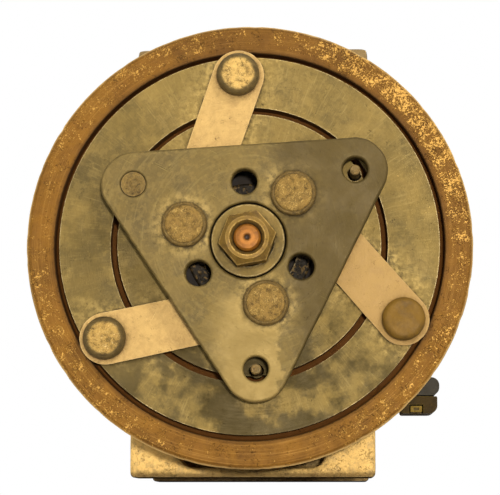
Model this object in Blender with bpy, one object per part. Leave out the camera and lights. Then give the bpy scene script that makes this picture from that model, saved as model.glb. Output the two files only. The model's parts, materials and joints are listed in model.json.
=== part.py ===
"""Scroll compressor of a car's air conditioning, with its belt pulley and magnetic clutch.

The shaft runs along Y with the clutch at -Y, +X is to the right seen from the clutch, and +Z is up.
The origin lies on the mounting plane, under the shaft, at the middle of the front foot.
Shapes are drawn in millimetres about the shaft line, and each finished mesh is scaled to metres.
An empty lifts the shaft line to its height above the mounting plane.
"""

import math

import bmesh
import bpy
from mathutils import Matrix, Vector

METRE = 0.001  # metres in a millimetre

# Fits
GAP = 0.3  # between any two pieces that touch
AIR_GAP = 0.45  # armature to rotor with the clutch off, which is the armature's travel
RUN_GAP = 1.0  # coil to the turning rotor
MERGE = 0.001  # points this near are one
EMBED = 1.0  # how far a boss is sunk into what it grows from

# Pulley and rotor
PULLEY_RADIUS = 60
PULLEY_WIDTH = 25
RIM_WIDTH = 7.7
RIM_CHAMFER = 1.1
FLANGE_STEP = 2.4  # the flanges stand this far above the belt ribs
RIB_COUNT = 6
RIB_PITCH = 3.5
RIB_DEPTH = 2.6
RIB_ROOT = 0.8
GROOVE_WALL = 4.6  # metal left between the belt grooves and the coil pocket
FRICTION_THICKNESS = 5
BEARING_LIP = 2
BEARING_LIP_HEIGHT = 1.5
PULLEY_HUB_WALL = 4.2

# Armature, leaf springs and hub
CLUTCH_TURN = 93.5  # degrees from +X to the first armature rivet
SPRING_SWEEP = 72.3  # degrees from an armature rivet to the hub rivet of its spring
CORNER_TURN = 60.0  # degrees from an armature rivet to the next corner of the hub plate
CLUTCH_ARMS = 3
ARMATURE_THICKNESS = 5
ARMATURE_PROUD = 1.2  # in front of the rim
ARMATURE_RIM_GAP = 1.4
ARMATURE_BORE = 22
SLOT_RADIUS = 36.2
SLOT_WIDTH = 1.8
SLOT_BRIDGE = 18.0  # degrees of plate left between two slots
SLOT_SHIFT = 6.3  # degrees from a rivet to the middle of its bridge
ARMATURE_RIVET_CIRCLE = 45.8
ARMATURE_RIVET_HEAD = 5.7
ARMATURE_RIVET_HEIGHT = 3.6
ARMATURE_RIVET_EDGE = 1.8  # height and width of the head's rounding
ARMATURE_RIVET_SHANK = 2.5
SPRING_THICKNESS = 0.9
SPRING_WIDTH = 13.8
SPRING_END_RADIUS = 6.6
HUB_PLATE_PROUD = 9.3  # in front of the rim
HUB_PLATE_THICKNESS = 4.5
HUB_CORNER_CIRCLE = 34
HUB_CORNER_RADIUS = 8.7
HUB_RIVET_CIRCLE = 17.3
HUB_RIVET_HEAD = 6
HUB_RIVET_HEIGHT = 1.9
HUB_RIVET_EDGE = 0.95
HUB_RIVET_SHANK = 3
HUB_RIVET_TAIL = 4.5
HUB_RIVET_TAIL_HEIGHT = 1.2
PULLER_CIRCLE = 15.7
PULLER_HOLE = 3.4
STOP_PIN_HOLE = 3.3
STOP_PIN_RADIUS = 1.4
STOP_PIN_DROP = 0.8  # below the face of the hub plate
BOSS_RADIUS = 10.1
BOSS_DROP = 0.5  # below the face of the hub plate
BOSS_RELIEF = 0.6
NUT_FLATS = 14
NUT_HEIGHT = 6.2
NUT_CHAMFER = 1.2
NUT_TURN = 10.0  # degrees from +X to a corner of the nut
SHIM_THICKNESS = 0.6

# Nose, bearings, seal and coil
NOSE_RADIUS = 17.2
NOSE_BORE = 13
NOSE_LIP = 1.4  # nose in front of the ring that holds the bearing
RETAINER_THICKNESS = 1.5
RETAINER_DEPTH = 1.0
RETAINER_STAND = 3
RETAINER_OPENING = 50.0  # degrees
PULLEY_BEARING_SECTION = 10
MAIN_BEARING_SECTION = 10.4
MAIN_BEARING_WIDTH = 12
RACE_WALL = 3
RACE_GROOVE = 1.2
CAGE_WALL = 1.4
CAGE_WIDTH = 4.4
BALL_COUNT = 8
SHIELD_THICKNESS = 0.8
COIL_WALL = 2.5
COIL_FACE_DROP = 1.5
SEAL_WIDTH = 8
SEAL_RING_THICKNESS = 1.2
SEAL_RING_DEPTH = 1.2

# Shaft and drive
SHAFT_TIP_RADIUS = 4
SPLINE_RADIUS = 6.5
SHAFT_RADIUS = 8.5
JOURNAL_RADIUS = 10
CRANK_RADIUS = 15.5
CRANK_WIDTH = 6
SHOULDER_DEPTH = 6  # from the nose's end in to the shoulder that carries the hub
TIP_STAND = 0.4  # shaft beyond the nut
ORBIT = 4.9  # throw of the crank pin
CRANK_PIN_RADIUS = 5
BUSHING_END_GAP = 2.5  # bushing to the orbiting scroll's plate
TIP_CHAMFER = 0.7
TIP_DIMPLE = 1
BUSHING_WALL = 3.3
BUSHING_LENGTH = 12.6
COUNTERWEIGHT_RADIUS = 30
COUNTERWEIGHT_WIDTH = 5
COUNTERWEIGHT_SPAN = 140.0  # degrees
NEEDLE_RING_WALL = 2.7

# Scrolls
WRAP_PITCH = 16
WRAP_HEIGHT = 18
WRAP_START = 3.6  # radians of the involute
WRAP_STEP = 0.17
ORBITING_PLATE_RADIUS = 36
ORBITING_PLATE_WIDTH = 6
ORBITING_BOSS_WALL = 3
FIXED_PLATE_WIDTH = 7.5
FIXED_RIM_WALL = 2.4
SUCTION_NOTCH = 16
DISCHARGE_HOLE = 4
THRUST_WIDTH = 6.2
GUIDE_PIN_COUNT = 4
GUIDE_PIN_CIRCLE = 26.7
GUIDE_PIN_RADIUS = 2.5
GUIDE_PIN_REACH = 4
GUIDE_PIN_TURN = 45.0
REED_WIDTH = 11
REED_LENGTH = 27
REED_CORNER = 5  # at the free end
REED_ROOT_CORNER = 2  # at the screwed end
REED_THICKNESS = 0.6
REED_STOP_THICKNESS = 2
SCREW_RADIUS = 2
SCREW_HEAD = 3.8
SCREW_HEAD_HEIGHT = 3
SCREW_DEPTH = 4
SCREW_SOCKET = 1.5

# Housings
SHELL_WALL = 4
CRANK_CHAMBER_RADIUS = 36
HOUSING_CHAMFER = 1.5
FRONT_WALL = 12
BEARING_BOSS_WALL = 5
JOINT_DEPTH = 14  # from the orbiting plate's front to the joint between the housings
JOINT_FLANGE = 5
JOINT_FLANGE_WIDTH = 10
ORING_RADIUS = 0.9
DISCHARGE_CHAMBER = 22
END_WALL = 8
END_CHAMFER = 6
BOLT_COUNT = 5
BOLT_START = 54.0
BOLT_RADIUS = 3
BOLT_HEAD_FLATS = 10
BOLT_HEAD_ROOM = 1.6  # for a spanner, between the heads and the shell
BOLT_HEAD_HEIGHT = 6
BOLT_LUG_RADIUS = 7
BOLT_LUG_STEP = 0.5  # the lugs' spot faces stand above the flanges
BOLT_LUG_RELIEF = 0.2  # the lugs stop short of the joint

# Mounting feet and ears
FOOT_CLEARANCE = 1.5  # from the mounting plane up to the pulley
FOOT_DEPTH = 20
FOOT_WIDTH = 68
FOOT_PILLAR = 14
FOOT_RIB = 3
FOOT_WEB = 4
FOOT_CORNER = 1.5
FOOT_FILLET = 4
EAR_WIDTH = 65.2
EAR_DROP = 0.4  # top of the ears below the top of the pulley
MOUNT_HOLE = 5.2
MOUNT_HOLE_DEPTH = 9.6  # from a foot's outer face to its hole's axis
PULLEY_FOOT_GAP = 2
REAR_FOOT_INSET = 6  # from the end of the rear housing

# Ports, plug, relief valve and connector
PORT_FACE_STEP = 7  # height of the port pads above the shell
PORT_PAD_LENGTH = 42
PORT_PAD_WIDTH = 22
PORT_PAD_CORNER = 9
PORT_SHIFT = 8
SUCTION_BORE = 7.5
DISCHARGE_BORE = 6
PORT_STUD_SHIFT = 12
PORT_STUD_HOLE = 3.3
PORT_STUD_DEPTH = 8
PLUG_RADIUS = 4.7
PLUG_HEAD_FLATS = 13
PLUG_HEAD_HEIGHT = 5
PLUG_BOSS_RADIUS = 9
PLUG_BOSS_STEP = 3
VALVE_SHIFT = 15
VALVE_SHANK = 5
VALVE_HEX_FLATS = 14
VALVE_HEX_HEIGHT = 6
VALVE_BORE = 3.4
VALVE_SEAT_HOLE = 1.8
VALVE_SEAT_WALL = 2
VALVE_VENT = 1.5
VALVE_END_WALL = 2
POPPET_LENGTH = 3
VALVE_WIRE = 0.4
VALVE_COILS = 4
CONNECTOR_LEFT = 41.4
CONNECTOR_RIGHT = 51.4
CONNECTOR_TOP = -39.1
CONNECTOR_BOTTOM = -43.8
CONNECTOR_FRONT_GAP = 2.5  # behind the pulley
CONNECTOR_DEPTH = 16
CONNECTOR_CORNER = 2.1
COLLAR_HEIGHT = 5
COLLAR_CORNER = 2.2
COLLAR_STAND = 0.6
CLIP_LEFT = 43.9
CLIP_WIDTH = 3.3
CLIP_HEIGHT = 1.8
CLIP_DEPTH = 3
CONNECTOR_LUG = 12
LUG_SETBACK = 2  # from the connector's front and bottom
LEAD_RADIUS = 1.5
LEAD_EXIT_TURN = 12.0  # degrees round the coil from the collar to where the lead leaves the coil

# Facets of round shapes
FINE_SIDES = 44
ROUND_SIDES = 28
RACE_SIDES = 18
SMALL_SIDES = 16
TINY_SIDES = 10

# Heights and radii that follow
SHAFT_HEIGHT = PULLEY_RADIUS + FOOT_CLEARANCE
RIM_INNER = PULLEY_RADIUS - RIM_WIDTH
RIB_TIP = PULLEY_RADIUS - FLANGE_STEP
POCKET_OUTER = RIB_TIP - RIB_DEPTH - GROOVE_WALL
ARMATURE_RADIUS = RIM_INNER - ARMATURE_RIM_GAP
PULLEY_BEARING_BORE = NOSE_RADIUS + GAP
PULLEY_BEARING_OUTER = PULLEY_BEARING_BORE + PULLEY_BEARING_SECTION
PULLEY_BORE = PULLEY_BEARING_OUTER + GAP
POCKET_INNER = PULLEY_BORE + PULLEY_HUB_WALL
MAIN_BEARING_BORE = JOURNAL_RADIUS + GAP
MAIN_BEARING_OUTER = MAIN_BEARING_BORE + MAIN_BEARING_SECTION
BUSHING_BORE = CRANK_PIN_RADIUS + GAP
BUSHING_RADIUS = BUSHING_BORE + BUSHING_WALL
NEEDLE_BORE = BUSHING_RADIUS + GAP
NEEDLE_OUTER = NEEDLE_BORE + NEEDLE_RING_WALL
ORBITING_BOSS_BORE = NEEDLE_OUTER + GAP
ORBITING_BOSS_RADIUS = ORBITING_BOSS_BORE + ORBITING_BOSS_WALL
SCROLL_CHAMBER_RADIUS = ORBITING_PLATE_RADIUS + ORBIT + 2 * GAP
SHELL_RADIUS = SCROLL_CHAMBER_RADIUS + SHELL_WALL
FIXED_SCROLL_RADIUS = SCROLL_CHAMBER_RADIUS - GAP
BOLT_CIRCLE = SHELL_RADIUS + BOLT_HEAD_FLATS / 2 + BOLT_HEAD_ROOM
INVOLUTE_BASE = WRAP_PITCH / (2 * math.pi)
WRAP_THICKNESS = WRAP_PITCH / 2 - ORBIT - GAP
FIXED_RIM = FIXED_SCROLL_RADIUS - FIXED_RIM_WALL
WRAP_REACH = FIXED_RIM * math.cos(math.pi / ROUND_SIDES) - ORBIT - WRAP_THICKNESS / 2 - 2 * GAP
WRAP_END = math.sqrt((WRAP_REACH / INVOLUTE_BASE) ** 2 - 1)  # radians of the involute
CHAMBER_END_RADIUS = SCROLL_CHAMBER_RADIUS - SHELL_WALL - GAP
ORING_CIRCLE = SCROLL_CHAMBER_RADIUS + GAP + ORING_RADIUS
ORING_SEAT = ORING_CIRCLE + ORING_RADIUS + GAP

# Places along the shaft, front to back
FOOT_FRONT = -FOOT_DEPTH / 2
HOUSING_FACE = FOOT_FRONT
PULLEY_BACK = FOOT_FRONT - PULLEY_FOOT_GAP
PULLEY_FRONT = PULLEY_BACK - PULLEY_WIDTH
ARMATURE_FRONT = PULLEY_FRONT - ARMATURE_PROUD
ARMATURE_BACK = ARMATURE_FRONT + ARMATURE_THICKNESS
FRICTION_FACE = ARMATURE_BACK + AIR_GAP
FRICTION_BACK = FRICTION_FACE + FRICTION_THICKNESS
BEARING_FRONT = FRICTION_FACE + BEARING_LIP + GAP
BEARING_BACK = HOUSING_FACE - GAP
RETAINER_BACK = BEARING_FRONT - GAP
RETAINER_FRONT = RETAINER_BACK - RETAINER_THICKNESS
NOSE_FRONT = RETAINER_FRONT - NOSE_LIP
COIL_FRONT = FRICTION_BACK + RUN_GAP
COIL_BACK = HOUSING_FACE - GAP
SPRING_LOW = ARMATURE_FRONT - GAP
HUB_PLATE_FRONT = PULLEY_FRONT - HUB_PLATE_PROUD
HUB_PLATE_BACK = HUB_PLATE_FRONT + HUB_PLATE_THICKNESS
SPRING_HIGH = HUB_PLATE_BACK + GAP + SPRING_THICKNESS
BOSS_FRONT = HUB_PLATE_FRONT + BOSS_DROP
NUT_BACK = BOSS_FRONT - GAP
NUT_FRONT = NUT_BACK - NUT_HEIGHT
SHAFT_TIP = NUT_FRONT - TIP_STAND
SHOULDER = NOSE_FRONT + SHOULDER_DEPTH
SHIM_FRONT = SHOULDER - GAP - SHIM_THICKNESS
BOSS_BACK = SHIM_FRONT - GAP
SEAL_RING_FRONT = SHOULDER + GAP
SEAL_FRONT = SEAL_RING_FRONT + SEAL_RING_THICKNESS + GAP
SEAL_BACK = SEAL_FRONT + SEAL_WIDTH
CHAMBER_FRONT = HOUSING_FACE + FRONT_WALL
MAIN_BEARING_BACK = CHAMBER_FRONT + BEARING_BOSS_WALL
MAIN_BEARING_FRONT = MAIN_BEARING_BACK - MAIN_BEARING_WIDTH
CRANK_FRONT = MAIN_BEARING_BACK + 2 * GAP
CRANK_BACK = CRANK_FRONT + CRANK_WIDTH
BUSHING_FRONT = CRANK_BACK + GAP
BUSHING_BACK = BUSHING_FRONT + BUSHING_LENGTH
COUNTERWEIGHT_BACK = BUSHING_FRONT + COUNTERWEIGHT_WIDTH
CRANK_PIN_END = BUSHING_BACK
ORBITING_BOSS_FRONT = COUNTERWEIGHT_BACK + 2 * GAP
ORBITING_FRONT = BUSHING_BACK + BUSHING_END_GAP
ORBITING_BACK = ORBITING_FRONT + ORBITING_PLATE_WIDTH
THRUST_BACK = ORBITING_FRONT - GAP
THRUST_FRONT = THRUST_BACK - THRUST_WIDTH
THRUST_SHOULDER = THRUST_FRONT - GAP
JOINT = ORBITING_FRONT + JOINT_DEPTH
FIXED_FRONT = ORBITING_BACK + WRAP_HEIGHT + GAP
FIXED_BACK = FIXED_FRONT + FIXED_PLATE_WIDTH
FIXED_WRAP_TIP = ORBITING_BACK + GAP
FIXED_SHOULDER = FIXED_BACK + GAP
END_FRONT = FIXED_SHOULDER + DISCHARGE_CHAMBER
END_BACK = END_FRONT + END_WALL
REAR_FOOT = END_BACK - REAR_FOOT_INSET - FOOT_DEPTH / 2
SUCTION_PLACE = (FOOT_DEPTH / 2 + JOINT - JOINT_FLANGE_WIDTH) / 2
DISCHARGE_PLACE = REAR_FOOT
PORT_FACE = SHELL_RADIUS + PORT_FACE_STEP

FINISHES = {
    "rusty_rim": ((0.28, 0.15, 0.07), 0.75, 0.6),
    "worn_steel": ((0.22, 0.18, 0.11), 0.5, 0.8),
    "spring_steel": ((0.62, 0.46, 0.27), 0.45, 0.7),
    "bright_steel": ((0.56, 0.55, 0.52), 0.3, 1.0),
    "cast_aluminium": ((0.60, 0.46, 0.26), 0.55, 0.7),
    "machined_aluminium": ((0.66, 0.65, 0.62), 0.4, 0.9),
    "stained_steel": ((0.52, 0.19, 0.05), 0.4, 1.0),
    "copper": ((0.48, 0.15, 0.03), 0.4, 1.0),
    "black_rubber": ((0.02, 0.02, 0.02), 0.8, 0.0),
    "dark_plastic": ((0.05, 0.035, 0.02), 0.5, 0.0),
    "slate_plastic": ((0.11, 0.12, 0.14), 0.5, 0.0),
    "yellow_plastic": ((0.55, 0.38, 0.03), 0.5, 0.0),
}


def material(finish):
    """The finish's material, made the first time it is asked for."""
    found = bpy.data.materials.get(finish)
    if found:
        return found
    colour, roughness, metallic = FINISHES[finish]
    made = bpy.data.materials.new(finish)
    made.use_nodes = True
    shader = made.node_tree.nodes["Principled BSDF"]
    shader.inputs["Base Color"].default_value = (*colour, 1.0)
    shader.inputs["Roughness"].default_value = roughness
    shader.inputs["Metallic"].default_value = metallic
    return made


def clear_scene():
    for obj in list(bpy.data.objects):
        bpy.data.objects.remove(obj)


def guide(name, place, parent=None):
    """An empty on a joint's axis, which carries the pieces drawn about that axis."""
    empty = bpy.data.objects.new(name, None)
    empty.location = Vector(place) * METRE
    empty.parent = parent
    bpy.context.scene.collection.objects.link(empty)
    return empty


def from_bmesh(name, shape):
    bmesh.ops.recalc_face_normals(shape, faces=shape.faces)
    mesh = bpy.data.meshes.new(name)
    shape.to_mesh(mesh)
    shape.free()
    obj = bpy.data.objects.new(name, mesh)
    bpy.context.scene.collection.objects.link(obj)
    return obj


def finish_piece(obj, finish, parent):
    """Gives a piece its material and shading and hangs it on its joint's empty."""
    if not obj.data.get("finished"):
        obj.data.transform(Matrix.Scale(METRE, 4))
        obj.data.materials.append(material(finish))
        obj.data.shade_smooth()
        obj.data.set_sharp_from_angle(angle=math.radians(30))
        obj.data["finished"] = True
    obj.parent = parent
    return obj


def combine(body, tool_shape, operation):
    """Applies one boolean to a body and discards the tool."""
    tool = from_bmesh("tool", tool_shape)
    modifier = body.modifiers.new("combine", "BOOLEAN")
    modifier.operation = operation
    modifier.object = tool
    graph = bpy.context.evaluated_depsgraph_get()
    result = bpy.data.meshes.new_from_object(body.evaluated_get(graph))
    body.modifiers.clear()
    old = body.data
    body.data = result
    result.name = body.name
    bpy.data.meshes.remove(old)
    bpy.data.objects.remove(tool)


def join(body, *shapes):
    for shape in shapes:
        combine(body, shape, "UNION")


def cut(body, *shapes):
    for shape in shapes:
        combine(body, shape, "DIFFERENCE")


def polar(radius, degrees):
    """(x, z) at an angle counted from +X towards +Z."""
    angle = math.radians(degrees)
    return radius * math.cos(angle), radius * math.sin(angle)


def turned(profile, steps, centre=(0.0, 0.0)):
    """Spins a closed profile of (radius, y) round the line along Y through centre (x, z)."""
    shape = bmesh.new()
    verts = [shape.verts.new((radius, y, 0.0)) for radius, y in profile]
    for a, b in zip(verts, verts[1:] + verts[:1]):
        if a.co.x > 0 or b.co.x > 0:
            shape.edges.new((a, b))
    bmesh.ops.spin(
        shape,
        geom=shape.verts[:] + shape.edges[:],
        cent=(0, 0, 0),
        axis=(0, 1, 0),
        angle=2 * math.pi,
        steps=steps,
        use_merge=True,
    )
    bmesh.ops.remove_doubles(shape, verts=shape.verts, dist=MERGE)
    bmesh.ops.translate(shape, verts=shape.verts, vec=(centre[0], 0, centre[1]))
    return shape


def ring(inner, outer, front, back, steps, centre=(0.0, 0.0)):
    profile = [(inner, front), (outer, front), (outer, back), (inner, back)]
    return turned(profile, steps, centre)


def disc(radius, front, back, steps, centre=(0.0, 0.0)):
    return turned([(0, front), (radius, front), (radius, back), (0, back)], steps, centre)


AXES = {
    "X": Matrix(((0, 0, 1), (1, 0, 0), (0, 1, 0))).to_4x4(),
    "Y": Matrix(((1, 0, 0), (0, 0, 1), (0, 1, 0))).to_4x4(),
    "Z": Matrix.Identity(4),
}


def extruded(outline, low, high, along="Y"):
    """An outline pushed along an axis. It is drawn in the other two axes, in alphabetical order."""
    shape = bmesh.new()
    face = shape.faces.new([shape.verts.new((a, b, low)) for a, b in outline])
    made = bmesh.ops.extrude_face_region(shape, geom=[face])
    top = [item for item in made["geom"] if isinstance(item, bmesh.types.BMVert)]
    bmesh.ops.translate(shape, verts=top, vec=(0, 0, high - low))
    bmesh.ops.transform(shape, matrix=AXES[along], verts=shape.verts)
    return shape


def rectangle(low_a, high_a, low_b, high_b):
    return [(low_a, low_b), (high_a, low_b), (high_a, high_b), (low_a, high_b)]


def circle(radius, steps, centre=(0.0, 0.0), turn=0.0):
    points = [polar(radius, turn + 360 * i / steps) for i in range(steps)]
    return [(centre[0] + a, centre[1] + b) for a, b in points]


def hexagon(flats, centre=(0.0, 0.0), turn=0.0):
    return circle(flats / math.sqrt(3), 6, centre, turn)


def rounded(corners, steps=4):
    """An outline through corners of (a, b, radius), each turned into an arc of that radius."""
    outline = []
    for i, (a, b, radius) in enumerate(corners):
        here = Vector((a, b))
        before = (Vector(corners[i - 1][:2]) - here).normalized()
        after = (Vector(corners[(i + 1) % len(corners)][:2]) - here).normalized()
        if radius <= 0:
            outline.append((a, b))
            continue
        half = before.angle(after) / 2
        middle = here + (before + after).normalized() * radius / math.sin(half)
        start = here + before * radius / math.tan(half) - middle
        sweep = start.angle_signed(here + after * radius / math.tan(half) - middle)
        for step in range(steps + 1):
            point = middle + Matrix.Rotation(-sweep * step / steps, 2) @ start
            outline.append((point.x, point.y))
    return outline


def rod(radius, low, high, along, place, steps=SMALL_SIDES):
    """A round bar along an axis; place is its centre in the other two axes."""
    return extruded(circle(radius, steps, place), low, high, along)


def arc_slot(radius, width, start, end, front, back, steps=14):
    """A cutter for an arc-shaped slot with square ends."""
    turns = [start + (end - start) * i / steps for i in range(steps + 1)]
    outer = [polar(radius + width / 2, turn) for turn in turns]
    inner = [polar(radius - width / 2, turn) for turn in reversed(turns)]
    return extruded(outer + inner, front, back)


def open_ring(inner, outer, front, back):
    """A retaining ring, open at the top."""
    half = RETAINER_OPENING / 2
    return arc_slot((inner + outer) / 2, outer - inner, 90 + half, 450 - half, front, back)


def thicken(shape, rows, depth):
    """Faces between rows of two points each, given a thickness along Y."""
    for a, b in zip(rows, rows[1:]):
        shape.faces.new((a[0], a[1], b[1], b[0]))
    made = bmesh.ops.extrude_face_region(shape, geom=shape.faces[:])
    top = [item for item in made["geom"] if isinstance(item, bmesh.types.BMVert)]
    bmesh.ops.translate(shape, verts=top, vec=(0, depth, 0))


def spread(count, start=0.0):
    return [start + 360 * i / count for i in range(count)]


def copies(base, names, turns, finish, parent):
    """Places copies of one mesh round the shaft, each its own object."""
    for name, turn in zip(names, turns):
        copy = bpy.data.objects.new(name, base.data)
        bpy.context.scene.collection.objects.link(copy)
        copy.rotation_euler = (0, -math.radians(turn), 0)
        finish_piece(copy, finish, parent)
    bpy.data.objects.remove(base)


def numbered(name, count):
    return [f"{name}_{i + 1}" for i in range(count)]


# Pulley and clutch


def belt_profile():
    """The ribbed face from the front flange to the back flange, as (radius, y)."""
    middle = (PULLEY_FRONT + PULLEY_BACK) / 2
    start = middle - RIB_COUNT * RIB_PITCH / 2
    half_root = RIB_ROOT / 2
    points = [(PULLEY_RADIUS, start - RIB_ROOT), (RIB_TIP, start)]
    for i in range(RIB_COUNT):
        groove = start + (i + 0.5) * RIB_PITCH
        points.append((RIB_TIP - RIB_DEPTH, groove - half_root))
        points.append((RIB_TIP - RIB_DEPTH, groove + half_root))
        points.append((RIB_TIP, start + (i + 1) * RIB_PITCH))
    return points + [(PULLEY_RADIUS - RIM_CHAMFER, points[-1][1] + RIB_ROOT)]


def make_pulley(parent):
    lip = PULLEY_BORE - BEARING_LIP_HEIGHT
    profile = [(lip, FRICTION_FACE), (RIM_INNER, FRICTION_FACE), (RIM_INNER, PULLEY_FRONT)]
    profile += [
        (PULLEY_RADIUS - RIM_CHAMFER, PULLEY_FRONT),
        (PULLEY_RADIUS, PULLEY_FRONT + RIM_CHAMFER / 2),
    ]
    profile += belt_profile()
    profile += [
        (PULLEY_RADIUS - RIM_CHAMFER, PULLEY_BACK),
        (POCKET_OUTER, PULLEY_BACK),
        (POCKET_OUTER, FRICTION_BACK),
        (POCKET_INNER, FRICTION_BACK),
        (POCKET_INNER, PULLEY_BACK),
        (PULLEY_BORE, PULLEY_BACK),
        (PULLEY_BORE, BEARING_FRONT - GAP),
        (lip, BEARING_FRONT - GAP),
    ]
    body = from_bmesh("pulley", turned(profile, FINE_SIDES))
    finish_piece(body, "rusty_rim", parent)


def race_groove(radius, middle, outward, groove_radius):
    """Points of a ball groove in a race of that radius, cut by outward (+1) or inward (-1)."""
    depth = RACE_GROOVE * outward
    half = math.sqrt(groove_radius**2 - (groove_radius - RACE_GROOVE) ** 2)
    return [
        (radius, middle - half),
        (radius + depth, middle - half / 2),
        (radius + depth, middle + half / 2),
        (radius, middle + half),
    ]


def make_bearing(prefix, bore, outer, front, back, parent):
    """Two races and a caged row of balls."""
    middle = (front + back) / 2
    inner_top = bore + RACE_WALL
    outer_bottom = outer - RACE_WALL
    ball = (outer_bottom - inner_top) / 2 + RACE_GROOVE - 2 * GAP
    groove = race_groove(inner_top, middle, -1, ball + GAP)
    profile = [(bore, front), (inner_top, front)] + groove + [(inner_top, back), (bore, back)]
    inner_race = from_bmesh(prefix + "_inner_race", turned(profile, RACE_SIDES))
    finish_piece(inner_race, "bright_steel", parent)
    groove = race_groove(outer_bottom, middle, 1, ball + GAP)
    profile = [(outer_bottom, front)] + groove
    profile += [(outer_bottom, back), (outer, back), (outer, front)]
    outer_race = from_bmesh(prefix + "_outer_race", turned(profile, RACE_SIDES))
    finish_piece(outer_race, "bright_steel", parent)
    make_ball_row(prefix, (inner_top + outer_bottom) / 2, middle, ball, parent)


def make_ball_row(prefix, pitch, middle, ball, parent):
    half_wall = CAGE_WALL / 2
    front = middle - CAGE_WIDTH / 2
    cage = ring(pitch - half_wall, pitch + half_wall, front, front + CAGE_WIDTH, RACE_SIDES)
    body = from_bmesh(prefix + "_balls", cage)
    balls = bmesh.new()
    for turn in spread(BALL_COUNT):
        x, z = polar(pitch, turn)
        place = Matrix.Translation((x, middle, z))
        bmesh.ops.create_uvsphere(balls, u_segments=6, v_segments=4, radius=ball, matrix=place)
    join(body, balls)
    finish_piece(body, "bright_steel", parent)


def make_pulley_trim(parent):
    """The shield in front of the pulley's balls and the ring that keeps the bearing on the nose."""
    inner = PULLEY_BEARING_BORE + RACE_WALL + 2 * GAP
    outer = PULLEY_BEARING_OUTER - RACE_WALL - GAP
    front = BEARING_FRONT + GAP
    shield = ring(inner, outer, front, front + SHIELD_THICKNESS, RACE_SIDES)
    finish_piece(from_bmesh("pulley_bearing_shield", shield), "black_rubber", parent)
    low = NOSE_RADIUS - RETAINER_DEPTH + GAP
    high = NOSE_RADIUS + RETAINER_STAND
    band = open_ring(low, high, RETAINER_FRONT, RETAINER_BACK)
    finish_piece(from_bmesh("pulley_retaining_ring", band), "bright_steel", parent)


def make_coil(parent):
    inner = POCKET_INNER + RUN_GAP
    outer = POCKET_OUTER - RUN_GAP
    floor = COIL_BACK - COIL_WALL
    profile = [
        (inner, COIL_FRONT),
        (inner + COIL_WALL, COIL_FRONT),
        (inner + COIL_WALL, floor),
        (outer - COIL_WALL, floor),
        (outer - COIL_WALL, COIL_FRONT),
        (outer, COIL_FRONT),
        (outer, COIL_BACK),
        (inner, COIL_BACK),
    ]
    finish_piece(from_bmesh("field_coil_case", turned(profile, ROUND_SIDES)), "worn_steel", parent)
    low = inner + COIL_WALL + GAP
    high = outer - COIL_WALL - GAP
    winding = ring(low, high, COIL_FRONT + COIL_FACE_DROP, floor - GAP, ROUND_SIDES)
    finish_piece(from_bmesh("field_coil_winding", winding), "copper", parent)


def arm_turns(shift=0.0):
    return spread(CLUTCH_ARMS, CLUTCH_TURN + shift)


def make_armature(parent):
    plate = ring(ARMATURE_BORE, ARMATURE_RADIUS, ARMATURE_FRONT, ARMATURE_BACK, FINE_SIDES)
    body = from_bmesh("armature_plate", plate)
    front = ARMATURE_FRONT - EMBED
    back = ARMATURE_BACK + EMBED
    for turn in arm_turns(SLOT_SHIFT):
        start = turn + SLOT_BRIDGE / 2
        end = turn + 360 / CLUTCH_ARMS - SLOT_BRIDGE / 2
        cut(body, arc_slot(SLOT_RADIUS, SLOT_WIDTH, start, end, front, back))
    for turn in arm_turns():
        place = polar(ARMATURE_RIVET_CIRCLE, turn)
        cut(body, rod(ARMATURE_RIVET_SHANK + GAP, front, back, "Y", place, TINY_SIDES))
    for turn in arm_turns(CORNER_TURN):
        place = polar(HUB_CORNER_CIRCLE, turn)
        cut(body, rod(STOP_PIN_RADIUS + GAP, front, back, "Y", place, TINY_SIDES))
    finish_piece(body, "worn_steel", parent)


def spring_stations(span):
    """(distance from the armature rivet, half width) along a leaf spring, round at both ends."""
    half = SPRING_WIDTH / 2
    seat = SPRING_END_RADIUS + GAP
    arc = [polar(1.0, turn) for turn in (10, 35, 60, 90)]
    stations = [(-a * half, b * half) for a, b in arc]
    stations += [(seat + (span - 2 * seat) * i / 6, half) for i in range(7)]
    stations += [(span + a * SPRING_END_RADIUS, b * SPRING_END_RADIUS) for a, b in reversed(arc)]
    return stations


def make_leaf_springs(parent):
    """Strips from the armature's rivets up to the hub's, flat where they are riveted."""
    start = Vector(polar(ARMATURE_RIVET_CIRCLE, 0))
    end = Vector(polar(HUB_RIVET_CIRCLE, SPRING_SWEEP))
    along = (end - start).normalized()
    across = Vector((-along.y, along.x))
    span = (end - start).length
    seat = SPRING_END_RADIUS + GAP
    shape = bmesh.new()
    rows = []
    for place, half in spring_stations(span):
        share = min(1.0, max(0.0, (place - seat) / (span - 2 * seat)))
        y = SPRING_LOW + (SPRING_HIGH - SPRING_LOW) * share * share * (3 - 2 * share)
        middle = start + along * place
        edges = (middle + across * half, middle - across * half)
        rows.append([shape.verts.new((edge.x, y, edge.y)) for edge in edges])
    thicken(shape, rows, -SPRING_THICKNESS)
    body = from_bmesh("leaf_spring", shape)
    front = SPRING_HIGH - SPRING_THICKNESS - EMBED
    for radius, place in ((ARMATURE_RIVET_SHANK, start), (HUB_RIVET_SHANK, end)):
        cut(body, rod(radius + GAP, front, SPRING_LOW + EMBED, "Y", place, TINY_SIDES))
    names = numbered("leaf_spring", CLUTCH_ARMS)
    copies(body, names, arm_turns(), "spring_steel", parent)


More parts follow.
